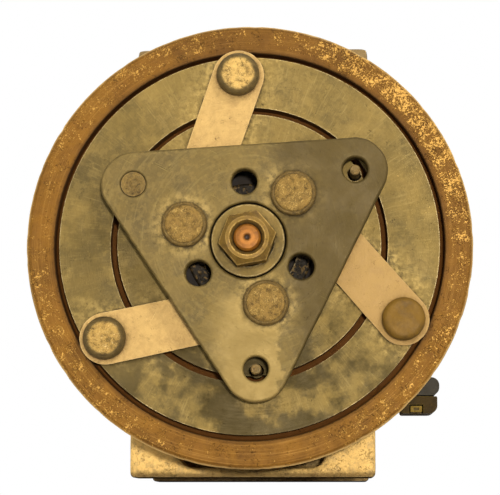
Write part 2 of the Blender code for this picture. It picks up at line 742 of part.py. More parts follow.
def make_armature_rivets(parent):
    head_back = SPRING_LOW - SPRING_THICKNESS - GAP
    head_front = head_back - ARMATURE_RIVET_HEIGHT
    edge = ARMATURE_RIVET_EDGE
    profile = [
        (0, head_front),
        (ARMATURE_RIVET_HEAD - edge, head_front),
        (ARMATURE_RIVET_HEAD - edge / 3, head_front + edge / 3),
        (ARMATURE_RIVET_HEAD, head_front + edge),
        (ARMATURE_RIVET_HEAD, head_back),
        (ARMATURE_RIVET_SHANK, head_back),
        (ARMATURE_RIVET_SHANK, ARMATURE_BACK - GAP),
        (0, ARMATURE_BACK - GAP),
    ]
    base = from_bmesh("armature_rivet", turned(profile, SMALL_SIDES, (ARMATURE_RIVET_CIRCLE, 0)))
    names = numbered("armature_rivet", CLUTCH_ARMS)
    copies(base, names, arm_turns(), "worn_steel", parent)


def make_stop_pins(parent):
    front = HUB_PLATE_FRONT + STOP_PIN_DROP
    pin = disc(STOP_PIN_RADIUS, front, ARMATURE_BACK - GAP, TINY_SIDES, (HUB_CORNER_CIRCLE, 0))
    names = numbered("stop_pin", CLUTCH_ARMS)
    copies(from_bmesh("stop_pin", pin), names, arm_turns(CORNER_TURN), "worn_steel", parent)


def make_hub_plate(parent):
    reach = HUB_CORNER_CIRCLE + HUB_CORNER_RADIUS / math.cos(math.radians(180 / CLUTCH_ARMS))
    corners = [(*polar(reach, turn), HUB_CORNER_RADIUS) for turn in arm_turns(CORNER_TURN)]
    body = from_bmesh("hub_plate", extruded(rounded(corners, 7), HUB_PLATE_FRONT, HUB_PLATE_BACK))
    front = HUB_PLATE_FRONT - EMBED
    back = HUB_PLATE_BACK + EMBED
    cut(body, rod(BOSS_RADIUS + GAP, front, back, "Y", (0, 0), ROUND_SIDES))
    holes = [(PULLER_CIRCLE, PULLER_HOLE, 0.0)]
    holes += [(HUB_RIVET_CIRCLE, HUB_RIVET_SHANK + GAP, SPRING_SWEEP)]
    holes += [(HUB_CORNER_CIRCLE, STOP_PIN_HOLE, CORNER_TURN)]
    for circle_radius, radius, shift in holes:
        for turn in arm_turns(shift):
            cut(body, rod(radius, front, back, "Y", polar(circle_radius, turn), TINY_SIDES))
    finish_piece(body, "worn_steel", parent)


def make_hub_rivets(parent):
    head_back = HUB_PLATE_FRONT - GAP
    head_front = head_back - HUB_RIVET_HEIGHT
    edge = HUB_RIVET_EDGE
    tail_front = SPRING_HIGH + GAP
    tail_back = tail_front + HUB_RIVET_TAIL_HEIGHT
    profile = [
        (0, head_front),
        (HUB_RIVET_HEAD - edge, head_front),
        (HUB_RIVET_HEAD, head_front + edge),
        (HUB_RIVET_HEAD, head_back),
        (HUB_RIVET_SHANK, head_back),
        (HUB_RIVET_SHANK, tail_front),
        (HUB_RIVET_TAIL, tail_front),
        (HUB_RIVET_TAIL, tail_back),
        (0, tail_back),
    ]
    base = from_bmesh("hub_rivet", turned(profile, SMALL_SIDES, (HUB_RIVET_CIRCLE, 0)))
    names = numbered("hub_rivet", CLUTCH_ARMS)
    copies(base, names, arm_turns(SPRING_SWEEP), "worn_steel", parent)


def make_hub_boss(parent):
    bore = SPLINE_RADIUS + GAP
    neck = BOSS_RADIUS - BOSS_RELIEF
    profile = [
        (bore, BOSS_FRONT),
        (BOSS_RADIUS, BOSS_FRONT),
        (BOSS_RADIUS, HUB_PLATE_BACK),
        (neck, HUB_PLATE_BACK),
        (neck, BOSS_BACK),
        (bore, BOSS_BACK),
    ]
    finish_piece(from_bmesh("hub_boss", turned(profile, ROUND_SIDES)), "worn_steel", parent)


def make_nut(parent):
    body = from_bmesh("shaft_nut", extruded(hexagon(NUT_FLATS, turn=NUT_TURN), NUT_FRONT, NUT_BACK))
    corner = NUT_FLATS / math.sqrt(3)
    face = NUT_FLATS / 2 - NUT_CHAMFER
    slope = NUT_CHAMFER + corner - NUT_FLATS / 2
    cone = [
        (face, NUT_FRONT),
        (face, NUT_FRONT - EMBED),
        (corner + EMBED, NUT_FRONT - EMBED),
        (corner + EMBED, NUT_FRONT + (slope + EMBED) / 2),
        (corner, NUT_FRONT + slope / 2),
    ]
    cut(body, turned(cone, SMALL_SIDES))
    cut(body, rod(SHAFT_TIP_RADIUS + GAP, NUT_FRONT - EMBED, NUT_BACK + EMBED, "Y", (0, 0)))
    finish_piece(body, "worn_steel", parent)
    shim = ring(SPLINE_RADIUS + GAP, SHAFT_RADIUS, SHIM_FRONT, SHIM_FRONT + SHIM_THICKNESS, SMALL_SIDES)
    finish_piece(from_bmesh("clutch_shim", shim), "bright_steel", parent)


# Shaft, drive and scrolls


def make_shaft(parent):
    profile = [
        (0, SHAFT_TIP + TIP_DIMPLE),
        (TIP_DIMPLE, SHAFT_TIP),
        (SHAFT_TIP_RADIUS - TIP_CHAMFER, SHAFT_TIP),
        (SHAFT_TIP_RADIUS, SHAFT_TIP + TIP_CHAMFER),
        (SHAFT_TIP_RADIUS, BOSS_FRONT),
        (SPLINE_RADIUS, BOSS_FRONT + TIP_CHAMFER),
        (SPLINE_RADIUS, SHOULDER),
        (SHAFT_RADIUS, SHOULDER),
        (SHAFT_RADIUS, MAIN_BEARING_FRONT),
        (JOURNAL_RADIUS, MAIN_BEARING_FRONT),
        (JOURNAL_RADIUS, CRANK_FRONT),
        (CRANK_RADIUS, CRANK_FRONT),
        (CRANK_RADIUS, CRANK_BACK),
        (0, CRANK_BACK),
    ]
    body = from_bmesh("crankshaft", turned(profile, SMALL_SIDES))
    join(body, rod(CRANK_PIN_RADIUS, CRANK_BACK - EMBED, CRANK_PIN_END, "Y", (0, ORBIT)))
    finish_piece(body, "stained_steel", parent)


def make_bushing(parent):
    """The bushing on the crank pin, with the weight that balances the orbiting scroll."""
    bushing = disc(BUSHING_RADIUS, BUSHING_FRONT, BUSHING_BACK, SMALL_SIDES, (0, ORBIT))
    body = from_bmesh("drive_bushing", bushing)
    turns = [270 + COUNTERWEIGHT_SPAN * (i / 12 - 0.5) for i in range(13)]
    outline = [(0, 0)] + [polar(COUNTERWEIGHT_RADIUS, turn) for turn in turns]
    join(body, extruded(outline, BUSHING_FRONT, COUNTERWEIGHT_BACK))
    cut(body, rod(BUSHING_BORE, BUSHING_FRONT - EMBED, BUSHING_BACK + EMBED, "Y", (0, ORBIT)))
    finish_piece(body, "bright_steel", parent)


def wrap(front, back, half_turn=0.0):
    """A scroll wall: an involute of the base circle, thickened by half the wall each way."""
    shift = WRAP_THICKNESS / (2 * INVOLUTE_BASE)
    steps = round((WRAP_END - WRAP_START) / WRAP_STEP)

    def at(angle, offset):
        start = angle - offset
        x = math.cos(angle) + start * math.sin(angle)
        z = math.sin(angle) - start * math.cos(angle)
        turn = math.radians(half_turn)
        return Vector((x * math.cos(turn) - z * math.sin(turn), x * math.sin(turn) + z * math.cos(turn)))

    shape = bmesh.new()
    rows = []
    for i in range(steps + 1):
        angle = WRAP_START + (WRAP_END - WRAP_START) * i / steps
        pair = [at(angle, offset) * INVOLUTE_BASE for offset in (shift, -shift)]
        rows.append([shape.verts.new((point.x, front, point.y)) for point in pair])
    thicken(shape, rows, back - front)
    return shape


def guide_pin_places():
    return [polar(GUIDE_PIN_CIRCLE, turn) for turn in spread(GUIDE_PIN_COUNT, GUIDE_PIN_TURN)]


def make_orbiting_scroll(parent):
    """Drawn about the crank pin, which carries it."""
    plate = disc(ORBITING_PLATE_RADIUS, ORBITING_FRONT, ORBITING_BACK, ROUND_SIDES)
    body = from_bmesh("orbiting_scroll", plate)
    boss = ring(
        ORBITING_BOSS_BORE, ORBITING_BOSS_RADIUS, ORBITING_BOSS_FRONT, ORBITING_FRONT + EMBED, SMALL_SIDES
    )
    join(body, boss, wrap(ORBITING_BACK - EMBED, FIXED_FRONT - GAP))
    pocket = GUIDE_PIN_RADIUS + ORBIT + GAP
    for place in guide_pin_places():
        end = ORBITING_FRONT + GUIDE_PIN_REACH + GAP
        cut(body, rod(pocket, ORBITING_FRONT - EMBED, end, "Y", place))
    finish_piece(body, "machined_aluminium", parent)
    needles = ring(NEEDLE_BORE, NEEDLE_OUTER, ORBITING_BOSS_FRONT, ORBITING_FRONT - GAP, SMALL_SIDES)
    finish_piece(from_bmesh("scroll_needle_bearing", needles), "bright_steel", parent)


def make_thrust_plate(parent):
    inner = ORBITING_BOSS_RADIUS + ORBIT + 2 * GAP
    plate = ring(inner, FIXED_SCROLL_RADIUS, THRUST_FRONT, THRUST_BACK, ROUND_SIDES)
    body = from_bmesh("thrust_plate", plate)
    front = THRUST_FRONT - EMBED
    back = THRUST_BACK + EMBED
    for place in guide_pin_places():
        cut(body, rod(GUIDE_PIN_RADIUS + GAP, front, back, "Y", place, TINY_SIDES))
    finish_piece(body, "bright_steel", parent)
    for name, place in zip(numbered("guide_pin", GUIDE_PIN_COUNT), guide_pin_places()):
        pin = disc(GUIDE_PIN_RADIUS, THRUST_FRONT, ORBITING_FRONT + GUIDE_PIN_REACH, TINY_SIDES, place)
        finish_piece(from_bmesh(name, pin), "bright_steel", parent)


def make_fixed_scroll(parent):
    profile = [
        (0, FIXED_FRONT),
        (FIXED_RIM, FIXED_FRONT),
        (FIXED_RIM, FIXED_WRAP_TIP),
        (FIXED_SCROLL_RADIUS, FIXED_WRAP_TIP),
        (FIXED_SCROLL_RADIUS, FIXED_BACK),
        (0, FIXED_BACK),
    ]
    body = from_bmesh("fixed_scroll", turned(profile, ROUND_SIDES))
    join(body, wrap(FIXED_WRAP_TIP, FIXED_FRONT + EMBED, 180))
    half = SUCTION_NOTCH / 2
    notch = rectangle(-half, half, FIXED_RIM - EMBED, FIXED_SCROLL_RADIUS + EMBED)
    cut(body, extruded(notch, FIXED_WRAP_TIP - EMBED, FIXED_FRONT))
    back = FIXED_BACK + EMBED
    cut(body, rod(DISCHARGE_HOLE, FIXED_FRONT - EMBED, back, "Y", (0, 0)))
    screw_end = FIXED_BACK - SCREW_DEPTH - GAP
    cut(body, rod(SCREW_RADIUS + GAP, screw_end, back, "Y", reed_screw_place()))
    finish_piece(body, "machined_aluminium", parent)


def reed_screw_place():
    return 0.0, -(REED_LENGTH - REED_WIDTH)


def reed_outline():
    half = REED_WIDTH / 2
    low = reed_screw_place()[1] - half
    corners = [
        (-half, low, REED_ROOT_CORNER),
        (half, low, REED_ROOT_CORNER),
        (half, half, REED_CORNER),
        (-half, half, REED_CORNER),
    ]
    return rounded(corners, 3)


def make_reed(parent):
    """The discharge reed over the fixed scroll's hole, its stop and the screw through both."""
    reed_front = FIXED_BACK + GAP
    stop_front = reed_front + REED_THICKNESS + GAP
    stop_back = stop_front + REED_STOP_THICKNESS
    layers = [
        ("discharge_reed", reed_front, reed_front + REED_THICKNESS),
        ("reed_stop", stop_front, stop_back),
    ]
    for name, front, back in layers:
        body = from_bmesh(name, extruded(reed_outline(), front, back))
        cut(body, rod(SCREW_RADIUS + GAP, front - EMBED, back + EMBED, "Y", reed_screw_place(), TINY_SIDES))
        finish_piece(body, "bright_steel", parent)
    head = stop_back + GAP
    profile = [
        (0, FIXED_BACK - SCREW_DEPTH),
        (SCREW_RADIUS, FIXED_BACK - SCREW_DEPTH),
        (SCREW_RADIUS, head),
        (SCREW_HEAD, head),
        (SCREW_HEAD, head + SCREW_HEAD_HEIGHT),
        (SCREW_SOCKET, head + SCREW_HEAD_HEIGHT),
        (SCREW_SOCKET, head + SCREW_HEAD_HEIGHT / 2),
        (0, head + SCREW_HEAD_HEIGHT / 2),
    ]
    screw = turned(profile, TINY_SIDES, reed_screw_place())
    finish_piece(from_bmesh("reed_screw", screw), "bright_steel", parent)


# Housings


def add_mounting_bar(body, side, middle, width, reach):
    """A cast bar across the shaft, open at the front between its two pillars.

    side is -1 below the shaft and +1 above, and reach is the height of its outer face.
    """
    half = width / 2
    inner = half - FOOT_PILLAR
    root = side * (math.sqrt(SHELL_RADIUS**2 - half**2) - EMBED)
    face = side * reach
    rib = side * (reach - FOOT_RIB)
    corners = [
        (-half, root, 0),
        (-half, face, FOOT_CORNER),
        (half, face, FOOT_CORNER),
        (half, root, 0),
        (inner, root, 0),
        (inner, rib, FOOT_FILLET),
        (-inner, rib, FOOT_FILLET),
        (-inner, root, 0),
    ]
    front = middle - FOOT_DEPTH / 2
    back = middle + FOOT_DEPTH / 2
    join(body, extruded(rounded(corners), front, back - FOOT_WEB / 2))
    web = corners[:4]
    join(body, extruded(rounded(web), back - FOOT_WEB, back))
    hole = (middle, side * (reach - MOUNT_HOLE_DEPTH))
    cut(body, rod(MOUNT_HOLE, -half - EMBED, half + EMBED, "X", hole))


def port_corners(place):
    a = PORT_PAD_LENGTH / 2
    b = PORT_PAD_WIDTH / 2
    corners = [(-a, place - b), (a, place - b), (a, place + b), (-a, place + b)]
    return [(x, y, PORT_PAD_CORNER) for x, y in corners]


def add_port(body, place, bore, chamber):
    """A pad on top with the gas port and the hole of the stud that holds the pipe's flange."""
    join(body, extruded(rounded(port_corners(place)), chamber, PORT_FACE, "Z"))
    stud = (PORT_STUD_SHIFT, place)
    top = PORT_FACE + EMBED
    cut(body, rod(PORT_STUD_HOLE, PORT_FACE - PORT_STUD_DEPTH, top, "Z", stud, TINY_SIDES))
    return rod(bore, chamber - 3 * EMBED, top, "Z", (-PORT_SHIFT, place))


def add_bolt_lugs(body, front, back):
    for turn in spread(BOLT_COUNT, BOLT_START):
        place = polar(BOLT_CIRCLE, turn)
        join(body, rod(BOLT_LUG_RADIUS, front, back, "Y", place, TINY_SIDES))
        cut(body, rod(BOLT_RADIUS + GAP, front - EMBED, back + EMBED, "Y", place, TINY_SIDES))


def front_shell():
    """The outside of the front housing, still solid."""
    groove = NOSE_RADIUS - RETAINER_DEPTH
    return [
        (0, NOSE_FRONT),
        (NOSE_RADIUS - HOUSING_CHAMFER / 2, NOSE_FRONT),
        (NOSE_RADIUS, NOSE_FRONT + HOUSING_CHAMFER / 2),
        (NOSE_RADIUS, RETAINER_FRONT - GAP),
        (groove, RETAINER_FRONT - GAP),
        (groove, RETAINER_BACK),
        (NOSE_RADIUS, RETAINER_BACK),
        (NOSE_RADIUS, HOUSING_FACE),
        (SHELL_RADIUS - HOUSING_CHAMFER, HOUSING_FACE),
        (SHELL_RADIUS, HOUSING_FACE + HOUSING_CHAMFER),
        (SHELL_RADIUS, JOINT - JOINT_FLANGE_WIDTH),
        (SHELL_RADIUS + JOINT_FLANGE, JOINT - JOINT_FLANGE_WIDTH),
        (SHELL_RADIUS + JOINT_FLANGE, JOINT),
        (0, JOINT),
    ]


def front_hollow():
    """Nose bore, seal ring groove, bearing seat, crank chamber and scroll chamber."""
    shaft_bore = SHAFT_RADIUS + 2 * GAP
    seat = MAIN_BEARING_OUTER + GAP
    ring_groove = NOSE_BORE + SEAL_RING_DEPTH
    return [
        (0, NOSE_FRONT - EMBED),
        (NOSE_BORE, NOSE_FRONT - EMBED),
        (NOSE_BORE, SEAL_RING_FRONT - GAP),
        (ring_groove, SEAL_RING_FRONT - GAP),
        (ring_groove, SEAL_FRONT - GAP),
        (NOSE_BORE, SEAL_FRONT - GAP),
        (NOSE_BORE, SEAL_BACK + GAP),
        (shaft_bore, SEAL_BACK + GAP),
        (shaft_bore, MAIN_BEARING_FRONT - GAP),
        (seat, MAIN_BEARING_FRONT - GAP),
        (seat, MAIN_BEARING_BACK + GAP),
        (seat + BEARING_BOSS_WALL, MAIN_BEARING_BACK + GAP),
        (seat + BEARING_BOSS_WALL, CHAMBER_FRONT),
        (CRANK_CHAMBER_RADIUS, CHAMBER_FRONT),
        (CRANK_CHAMBER_RADIUS, THRUST_SHOULDER),
        (SCROLL_CHAMBER_RADIUS, THRUST_SHOULDER),
        (SCROLL_CHAMBER_RADIUS, JOINT - 2 * ORING_RADIUS),
        (ORING_SEAT, JOINT - 2 * ORING_RADIUS),
        (ORING_SEAT, JOINT + EMBED),
        (0, JOINT + EMBED),
    ]


def connector_lug():
    """The cast lug beside the front foot that carries the coil's connector."""
    right = CONNECTOR_LEFT - GAP
    low = CONNECTOR_BOTTOM + LUG_SETBACK
    outline = rectangle(right - CONNECTOR_LUG, right, low, CONNECTOR_TOP + CONNECTOR_LUG)
    front = connector_front()
    return extruded(outline, front + LUG_SETBACK, front + CONNECTOR_DEPTH)


def plug_boss():
    low = -SHELL_RADIUS - PLUG_BOSS_STEP
    return rod(PLUG_BOSS_RADIUS, low, -CRANK_CHAMBER_RADIUS - EMBED, "X", (SUCTION_PLACE, 0))


def make_front_housing(parent):
    body = from_bmesh("front_housing", turned(front_shell(), ROUND_SIDES))
    add_mounting_bar(body, -1, 0, FOOT_WIDTH, SHAFT_HEIGHT)
    add_mounting_bar(body, 1, 0, EAR_WIDTH, PULLEY_RADIUS - EAR_DROP)
    join(body, connector_lug(), plug_boss())
    port = add_port(body, SUCTION_PLACE, SUCTION_BORE, CRANK_CHAMBER_RADIUS + EMBED)
    plug_face = -SHELL_RADIUS - PLUG_BOSS_STEP - EMBED
    plug_end = -CRANK_CHAMBER_RADIUS + 3 * EMBED
    plug = rod(PLUG_RADIUS + GAP, plug_face, plug_end, "X", (SUCTION_PLACE, 0), TINY_SIDES)
    cut(body, turned(front_hollow(), ROUND_SIDES), port, plug)
    add_bolt_lugs(body, JOINT - JOINT_FLANGE_WIDTH - BOLT_LUG_STEP, JOINT - BOLT_LUG_RELIEF)
    finish_piece(body, "cast_aluminium", parent)


def make_rear_housing(parent):
    front = JOINT + GAP
    profile = [
        (0, front),
        (SHELL_RADIUS + JOINT_FLANGE, front),
        (SHELL_RADIUS + JOINT_FLANGE, front + JOINT_FLANGE_WIDTH),
        (SHELL_RADIUS, front + JOINT_FLANGE_WIDTH),
        (SHELL_RADIUS, END_BACK - END_CHAMFER),
        (SHELL_RADIUS - END_CHAMFER, END_BACK),
        (0, END_BACK),
    ]
    hollow = [
        (0, front - EMBED),
        (SCROLL_CHAMBER_RADIUS, front - EMBED),
        (SCROLL_CHAMBER_RADIUS, FIXED_SHOULDER),
        (CHAMBER_END_RADIUS, FIXED_SHOULDER),
        (CHAMBER_END_RADIUS, END_FRONT),
        (0, END_FRONT),
    ]
    body = from_bmesh("rear_housing", turned(profile, ROUND_SIDES))
    add_mounting_bar(body, -1, REAR_FOOT, FOOT_WIDTH, SHAFT_HEIGHT)
    port = add_port(body, DISCHARGE_PLACE, DISCHARGE_BORE, CHAMBER_END_RADIUS + EMBED)
    cut(body, turned(hollow, ROUND_SIDES), port)
    cut(body, rod(VALVE_SHANK + GAP, END_FRONT - EMBED, END_BACK + EMBED, "Y", valve_place()))
    add_bolt_lugs(body, front + BOLT_LUG_RELIEF, front + JOINT_FLANGE_WIDTH + BOLT_LUG_STEP)
    finish_piece(body, "cast_aluminium", parent)


def make_joint_pieces(parent):
    """The O-ring between the housings and the bolts through their lugs."""
    y = JOINT - ORING_RADIUS + GAP / 2
    section = [(ORING_CIRCLE + a, y + b) for a, b in circle(ORING_RADIUS, 6)]
    finish_piece(from_bmesh("joint_o_ring", turned(section, ROUND_SIDES)), "black_rubber", parent)
    head = JOINT + GAP + JOINT_FLANGE_WIDTH + BOLT_LUG_STEP + GAP
    place = (BOLT_CIRCLE, 0)
    outline = hexagon(BOLT_HEAD_FLATS, place, 30)
    base = from_bmesh("bolt", extruded(outline, head, head + BOLT_HEAD_HEIGHT))
    join(base, rod(BOLT_RADIUS, JOINT - JOINT_FLANGE_WIDTH, head + EMBED, "Y", place, TINY_SIDES))
    names = numbered("housing_bolt", BOLT_COUNT)
    copies(base, names, spread(BOLT_COUNT, BOLT_START), "bright_steel", parent)


def make_seal(parent):
    outer = NOSE_BORE - GAP
    lip = SHAFT_RADIUS + GAP
    third = (outer - lip) / 3
    profile = [
        (lip + third, SEAL_FRONT),
        (outer, SEAL_FRONT),
        (outer, SEAL_BACK),
        (outer - third, SEAL_BACK),
        (outer - third, SEAL_FRONT + third),
        (lip + third, SEAL_FRONT + third),
        (lip, SEAL_BACK - third),
        (lip, SEAL_FRONT + third),
    ]
    finish_piece(from_bmesh("shaft_seal", turned(profile, SMALL_SIDES)), "black_rubber", parent)
    low = SHAFT_RADIUS + 2 * GAP
    high = NOSE_BORE + SEAL_RING_DEPTH - GAP
    band = open_ring(low, high, SEAL_RING_FRONT, SEAL_RING_FRONT + SEAL_RING_THICKNESS)
    finish_piece(from_bmesh("seal_retaining_ring", band), "bright_steel", parent)


# Fittings


def make_oil_plug(parent):
    face = -SHELL_RADIUS - PLUG_BOSS_STEP
    place = (SUCTION_PLACE, 0)
    head = face - GAP
    outline = hexagon(PLUG_HEAD_FLATS, place)
    body = from_bmesh("oil_plug", extruded(outline, head - PLUG_HEAD_HEIGHT, head, "X"))
    join(body, rod(PLUG_RADIUS, head - EMBED, -SHELL_RADIUS + EMBED, "X", place, TINY_SIDES))
    finish_piece(body, "bright_steel", parent)


def valve_place():
    return -VALVE_SHIFT, VALVE_SHIFT


def make_relief_valve(parent):
    front = END_FRONT - VALVE_SEAT_WALL
    seat = front + VALVE_SEAT_WALL
    hex_front = END_BACK + GAP
    hex_back = hex_front + VALVE_HEX_HEIGHT
    place = valve_place()
    outline = hexagon(VALVE_HEX_FLATS, place)
    body = from_bmesh("relief_valve_body", extruded(outline, hex_front, hex_back))
    join(body, disc(VALVE_SHANK, front, hex_front + EMBED, SMALL_SIDES, place))
    hollow = [
        (0, front - EMBED),
        (VALVE_SEAT_HOLE, front - EMBED),
        (VALVE_SEAT_HOLE, seat),
        (VALVE_BORE, seat),
        (VALVE_BORE, hex_back - VALVE_END_WALL),
        (VALVE_VENT, hex_back - VALVE_END_WALL),
        (VALVE_VENT, hex_back + EMBED),
        (0, hex_back + EMBED),
    ]
    cut(body, turned(hollow, SMALL_SIDES, place))
    finish_piece(body, "bright_steel", parent)
    poppet_back = seat + GAP + POPPET_LENGTH
    spring_back = hex_back - VALVE_END_WALL - GAP
    spring = coil_spring(poppet_back + GAP, spring_back, VALVE_BORE - GAP - VALVE_WIRE, place)
    finish_piece(from_bmesh("relief_spring", spring), "spring_steel", parent)
    poppet = disc(VALVE_BORE - GAP, seat + GAP, poppet_back, TINY_SIDES, place)
    finish_piece(from_bmesh("relief_poppet", poppet), "bright_steel", parent)


def coil_spring(front, back, radius, centre):
    """A helix of round wire whose ends lie inside front and back."""
    steps = VALVE_COILS * 8
    shape = bmesh.new()
    rows = []
    for i in range(steps + 1):
        angle = 2 * math.pi * VALVE_COILS * i / steps
        y = front + VALVE_WIRE + (back - front - 2 * VALVE_WIRE) * i / steps
        outward = Vector((math.cos(angle), 0, math.sin(angle)))
        middle = outward * radius + Vector((centre[0], y, centre[1]))
        wire = [outward * a + Vector((0, b, 0)) for a, b in circle(VALVE_WIRE, 4)]
        rows.append([shape.verts.new(middle + point) for point in wire])
    for a, b in zip(rows, rows[1:]):
        for k in range(len(a)):
            shape.faces.new((a[k - 1], a[k], b[k], b[k - 1]))
    shape.faces.new(rows[0])
    shape.faces.new(rows[-1])
    return shape


def connector_front():
    return PULLEY_BACK + CONNECTOR_FRONT_GAP


def make_connector(parent):
    """The coil's connector: a dark body with its lock, and a slate collar round the lead's entry."""
    front = connector_front()
    back = front + CONNECTOR_DEPTH
    corners = [
        (CONNECTOR_LEFT, CONNECTOR_TOP, 0),
        (CONNECTOR_LEFT, CONNECTOR_BOTTOM, CONNECTOR_CORNER / 3),
        (CONNECTOR_RIGHT, CONNECTOR_BOTTOM, CONNECTOR_CORNER),
        (CONNECTOR_RIGHT, CONNECTOR_TOP, 0),
    ]
    body = from_bmesh("coil_connector", extruded(rounded(corners), front, back))
    clip_bottom = CONNECTOR_BOTTOM + GAP
    clip_right = CLIP_LEFT + CLIP_WIDTH
    clip_top = clip_bottom + CLIP_HEIGHT
    notch = rectangle(CLIP_LEFT - GAP, clip_right + GAP, CONNECTOR_BOTTOM - EMBED, clip_top + GAP)
    cut(body, extruded(notch, front - EMBED, front + CLIP_DEPTH + GAP))
    finish_piece(body, "dark_plastic", parent)
    clip = rectangle(CLIP_LEFT, clip_right, clip_bottom, clip_top)
    clip = extruded(clip, front + GAP, front + CLIP_DEPTH)
    finish_piece(from_bmesh("connector_lock", clip), "yellow_plastic", parent)
    low = CONNECTOR_TOP + GAP
    high = low + COLLAR_HEIGHT
    right = CONNECTOR_RIGHT + COLLAR_STAND
    corners = [
        (CONNECTOR_LEFT, low, 0),
        (right, low, COLLAR_CORNER),
        (right, high, COLLAR_CORNER),
        (CONNECTOR_LEFT, high, 0),
    ]
    collar = extruded(rounded(corners, 6), front, back)
    finish_piece(from_bmesh("connector_collar", collar), "slate_plastic", parent)


def lead_knots():
    """The lead's route: out of the coil's back, round the housing and down into the collar."""
    collar = Vector((CONNECTOR_LEFT + LEAD_RADIUS * 2, CONNECTOR_TOP + COLLAR_HEIGHT + 2 * GAP))
    middle = connector_front() + CONNECTOR_DEPTH / 2
    coil_rim = POCKET_OUTER - RUN_GAP - LEAD_RADIUS - GAP
    angle = math.degrees(math.atan2(collar.y, collar.x)) + LEAD_EXIT_TURN
    leave = polar(coil_rim, angle)
    beside = polar(coil_rim + 2 * LEAD_RADIUS, angle)
    start = COIL_BACK + GAP
    return [
        Vector((leave[0], start, leave[1])),
        Vector((leave[0], start + 2 * LEAD_RADIUS, leave[1])),
        Vector((beside[0], start + 5 * LEAD_RADIUS, beside[1])),
        Vector((collar.x, middle, collar.y + 3 * LEAD_RADIUS)),
        Vector((collar.x, middle, collar.y)),
    ]


def make_coil_lead(parent):
    curve = bpy.data.curves.new("coil_lead", "CURVE")
    curve.dimensions = "3D"
    curve.bevel_depth = LEAD_RADIUS * METRE
    curve.bevel_resolution = 2
    curve.use_fill_caps = True
    curve.materials.append(material("black_rubber"))
    spline = curve.splines.new("POLY")
    route = smooth_route(lead_knots(), 4)
    spline.points.add(len(route) - 1)
    for point, place in zip(spline.points, route):
        point.co = (*place * METRE, 1)
    lead = bpy.data.objects.new("coil_lead", curve)
    bpy.context.scene.collection.objects.link(lead)
    lead.parent = parent


def smooth_route(knots, steps):
    """Points on a Catmull-Rom curve through the knots."""
    ends = [2 * knots[0] - knots[1]] + knots + [2 * knots[-1] - knots[-2]]
    route = []
    for a, b, c, d in zip(ends, ends[1:], ends[2:], ends[3:]):
        for step in range(steps):
            t = step / steps
            bend = 2 * a - 5 * b + 4 * c - d
            twist = 3 * b - a - 3 * c + d
            route.append(b + ((c - a) * t + bend * t**2 + twist * t**3) / 2)
    return route + [knots[-1]]


def main():
    clear_scene()
    line = guide("shaft_line", (0, 0, SHAFT_HEIGHT))
    pin_line = guide("crank_pin_line", (0, 0, ORBIT), line)
    make_bearing(
        "pulley_bearing", PULLEY_BEARING_BORE, PULLEY_BEARING_OUTER, BEARING_FRONT, BEARING_BACK, line
    )
    make_bearing(
        "main_bearing", MAIN_BEARING_BORE, MAIN_BEARING_OUTER, MAIN_BEARING_FRONT, MAIN_BEARING_BACK, line
    )
    for make in (
        make_pulley,
        make_pulley_trim,
        make_coil,
        make_armature,
        make_leaf_springs,
        make_armature_rivets,
        make_stop_pins,
        make_hub_plate,
        make_hub_rivets,
        make_hub_boss,
        make_nut,
        make_shaft,
        make_bushing,
        make_thrust_plate,
        make_fixed_scroll,
        make_reed,
        make_front_housing,
        make_rear_housing,
        make_joint_pieces,
        make_seal,
        make_oil_plug,
        make_relief_valve,
        make_connector,
        make_coil_lead,
    ):
        make(line)
    make_orbiting_scroll(pin_line)


main()
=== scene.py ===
import json
import math

import bmesh
import bpy
from mathutils import Matrix, Vector, noise


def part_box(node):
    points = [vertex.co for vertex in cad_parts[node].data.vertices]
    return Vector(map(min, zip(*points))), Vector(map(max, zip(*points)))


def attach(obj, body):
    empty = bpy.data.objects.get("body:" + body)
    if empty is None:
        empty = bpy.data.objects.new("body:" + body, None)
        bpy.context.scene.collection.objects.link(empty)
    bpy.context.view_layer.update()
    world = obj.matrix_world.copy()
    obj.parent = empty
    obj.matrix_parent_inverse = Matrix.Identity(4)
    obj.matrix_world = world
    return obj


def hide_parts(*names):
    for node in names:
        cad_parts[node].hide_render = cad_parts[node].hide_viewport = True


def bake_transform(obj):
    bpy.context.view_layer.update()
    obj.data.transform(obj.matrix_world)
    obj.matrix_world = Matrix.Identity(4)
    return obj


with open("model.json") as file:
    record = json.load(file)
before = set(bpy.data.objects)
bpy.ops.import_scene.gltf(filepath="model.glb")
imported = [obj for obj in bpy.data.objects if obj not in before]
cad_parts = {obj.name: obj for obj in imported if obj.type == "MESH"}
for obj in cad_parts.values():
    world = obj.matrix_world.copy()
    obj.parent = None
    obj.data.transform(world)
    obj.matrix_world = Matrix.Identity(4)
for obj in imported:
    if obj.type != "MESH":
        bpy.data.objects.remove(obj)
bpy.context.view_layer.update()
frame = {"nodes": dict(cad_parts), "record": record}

millimetre = 0.001
lowRim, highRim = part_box("pulley")
shaftHeight = (lowRim.z + highRim.z) / 2
toFrame = Matrix.Translation((0, 0, shaftHeight)) @ Matrix.Diagonal((millimetre, millimetre, millimetre, 1))
fromFrame = toFrame.inverted()

clutch = {
    "arms": 3,
    "firstTurn": 93.5,  # degrees from +X to the first armature rivet
    "springSweep": 72.3,  # from an armature rivet to its spring's hub rivet
    "cornerTurn": 60.0,  # from an armature rivet to the next corner of the hub plate
    "armatureCircle": 45.8,
    "hubCircle": 17.3,
    "cornerCircle": 34.0,
    "pullerCircle": 15.7,
}


def span(node):
    low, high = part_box(node)
    return fromFrame @ low, fromFrame @ high


def polar(radius, turn):
    angle = math.radians(turn)
    return Vector((radius * math.cos(angle), radius * math.sin(angle)))


def armTurns(shift=0.0):
    return [clutch["firstTurn"] + shift + 360 / clutch["arms"] * i for i in range(clutch["arms"])]


